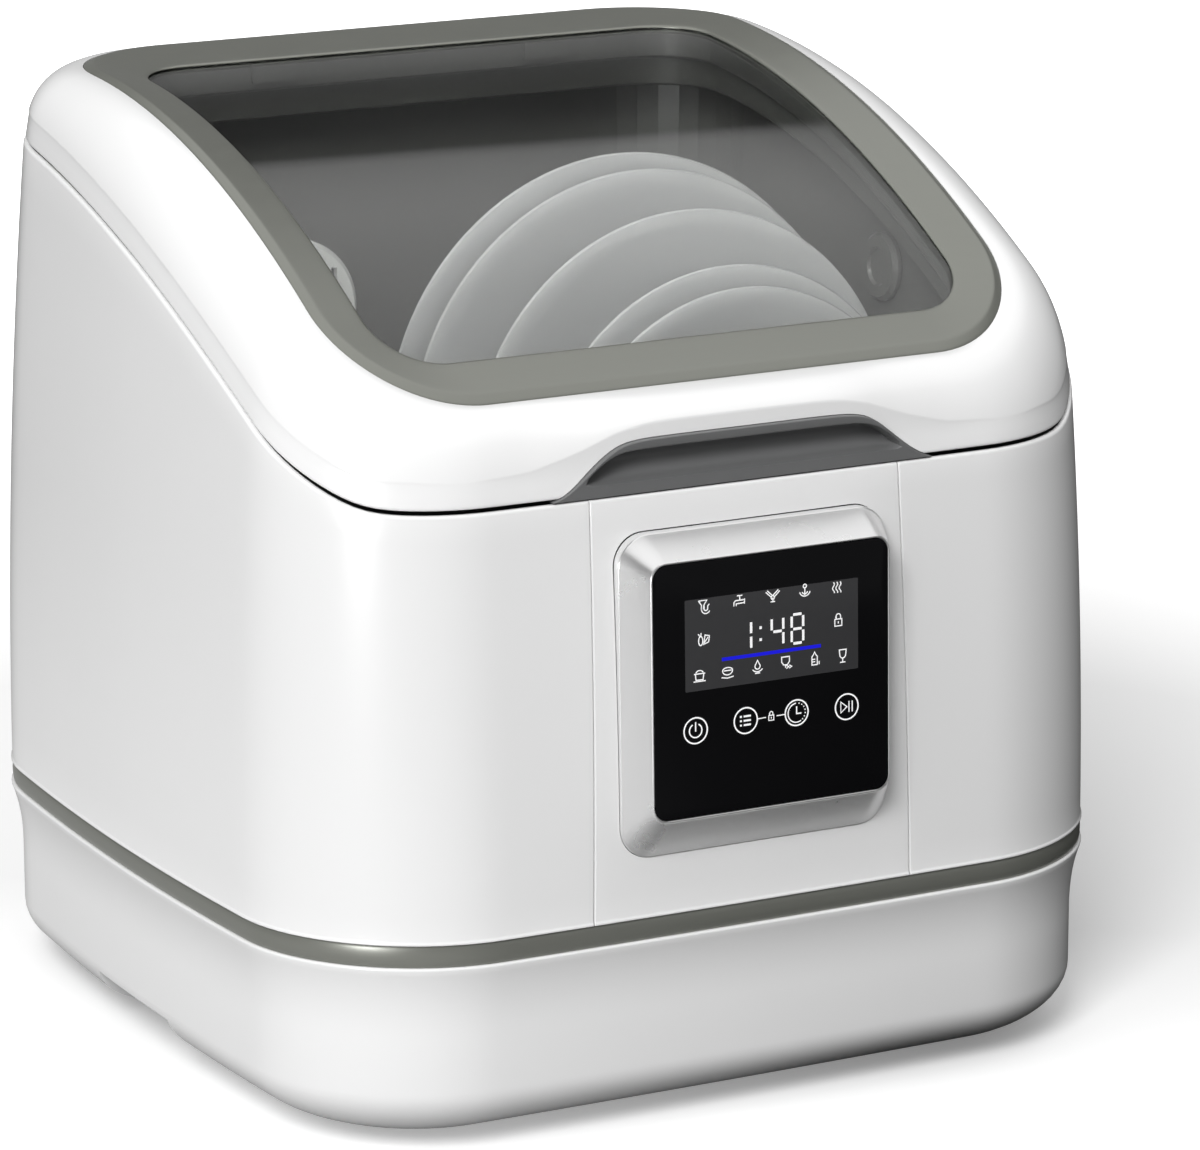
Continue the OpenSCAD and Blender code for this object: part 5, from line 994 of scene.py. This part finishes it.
# Where it is seen it is white, and it glows more with the distance and towards the front left
seen = sum_node(nt, "MAXIMUM", path.outputs["Is Camera Ray"], path.outputs["Is Transmission Ray"])
spread = map_node(nt, reach.outputs["Value"], (0.6, 1.7), (0.04, 1.0))
lead = map_node(nt, ahead.outputs["Value"], (-0.15, 0.35), (0.02, 0.5))
strength = sum_node(nt, "MULTIPLY", seen, sum_node(nt, "MAXIMUM", spread, lead))
nt.links.new(strength, glow.inputs["Strength"])
# The light that it throws back falls off to the right and with the distance
bounce = map_node(nt, side.outputs["X"], (-0.2, 0.08), (0.45, 0.02))
far = map_node(nt, reach.outputs["Value"], (0.6, 1.3), (1.0, 0.3))
nt.links.new(sum_node(nt, "MULTIPLY", bounce, far), tone.inputs[6])
tone.inputs[7].default_value = (0.87, 0.87, 0.87, 1)
nt.links.new(seen, tone.inputs[0])
nt.links.new(tone.outputs[2], diffuse.inputs["Color"])
nt.links.new(diffuse.outputs[0], total.inputs[0])
nt.links.new(glow.outputs[0], total.inputs[1])
nt.links.new(total.outputs[0], out.inputs["Surface"])
floor_mesh = bpy.data.meshes.new("studio_floor")
floor_mesh.from_pydata([(FLOOR_HALF * x, FLOOR_HALF * y, 0) for x, y in CORNERS], [], [(0, 1, 2, 3)])
floor_mesh.materials.append(m)
floor = bpy.data.objects.new("studio_floor", floor_mesh)
bpy.context.scene.collection.objects.link(floor)

# ---- World: white for the camera, a soft sky for the light and a graded one for reflections ----
world = bpy.data.worlds.new("studio")
bpy.context.scene.world = world
world.use_nodes = True
nt = world.node_tree
nt.nodes.clear()
out = nt.nodes.new("ShaderNodeOutputWorld")
white = node(nt, "ShaderNodeBackground", Color=(1, 1, 1, 1), Strength=1.0)
soft = node(nt, "ShaderNodeBackground", Strength=1.0)
mirror = node(nt, "ShaderNodeBackground", Strength=1.0)
path = node(nt, "ShaderNodeLightPath")
split = node(nt, "ShaderNodeSeparateXYZ")
nt.links.new(node(nt, "ShaderNodeTexCoord").outputs["Generated"], split.inputs[0])
sky = map_node(nt, split.outputs["X"], (-1.0, 1.0), (0.98, 0.48))
zenith = map_node(nt, split.outputs["Z"], (0.3, 1.0), (0.0, 0.3))
nt.links.new(sum_node(nt, "ADD", sky, zenith), soft.inputs["Strength"])
grade = node(nt, "ShaderNodeValToRGB")
grade.color_ramp.elements[0].color = (0.30, 0.30, 0.30, 1)
for pos, level in ((0.06, 0.22), (0.3, 0.16), (0.45, 0.05), (0.64, 0.03), (0.655, 0.52), (0.76, 0.95)):
    e = grade.color_ramp.elements.new(pos)
    e.color = (level, level, level, 1)
nt.links.new(split.outputs["Z"], grade.inputs[0])
nt.links.new(grade.outputs["Color"], mirror.inputs["Color"])
# Rays that pass the glass and stay low see the same white as the camera
down = sum_node(nt, "LESS_THAN", split.outputs["Z"], 0.05)
through = sum_node(nt, "MULTIPLY", path.outputs["Is Transmission Ray"], down)
direct = sum_node(nt, "MAXIMUM", path.outputs["Is Camera Ray"], through)
glossy = sum_node(nt, "MAXIMUM", path.outputs["Is Glossy Ray"], path.outputs["Is Transmission Ray"])
lighting = mix_node(nt, glossy, soft.outputs[0], mirror.outputs[0])
nt.links.new(mix_node(nt, direct, lighting, white.outputs[0]), out.inputs["Surface"])


# ---- Lamps and camera ----
def lamp(name, place, aim, size, power, size_y=None):
    """Area lamp turned towards a point; a second size makes it a rectangle."""
    data = bpy.data.lights.new(name, "AREA")
    data.energy, data.size = power, size
    if size_y:
        data.shape, data.size_y = "RECTANGLE", size_y
    obj = bpy.data.objects.new(name, data)
    obj.location = place
    obj.rotation_euler = (Vector(aim) - Vector(place)).to_track_quat("-Z", "Y").to_euler()
    obj.visible_camera = False
    bpy.context.scene.collection.objects.link(obj)
    return obj


key_light = lamp("key_light", (-3.9, -4.5, 4.4), (0, 0, 0.22), 2.5, 372)
key_light.visible_glossy = False
glint_light = lamp("glint_light", (-2.2, -1.6, 0.38), (-0.17, -0.17, 0.09), 0.6, 30, 0.4)
glint_light.visible_diffuse = False
glint_light.visible_transmission = False

cam = bpy.data.cameras.new("photo_camera")
cam.lens, cam.sensor_width, cam.sensor_fit = 178.8327, 36.0, "HORIZONTAL"
cam.clip_end = 60
eye = bpy.data.objects.new("photo_camera", cam)
azimuth, elevation, distance = radians(27.7417), radians(14.5955), 2.73358
target = Vector((0.03245, SHIFT * MM, 0.19267))
look = Vector((sin(azimuth) * cos(elevation), cos(azimuth) * cos(elevation), -sin(elevation)))
eye.location = target - look * distance
eye.rotation_euler = look.to_track_quat("-Z", "Y").to_euler()
bpy.context.scene.collection.objects.link(eye)
bpy.context.scene.camera = eye
bpy.context.scene.view_settings.view_transform = "Standard"
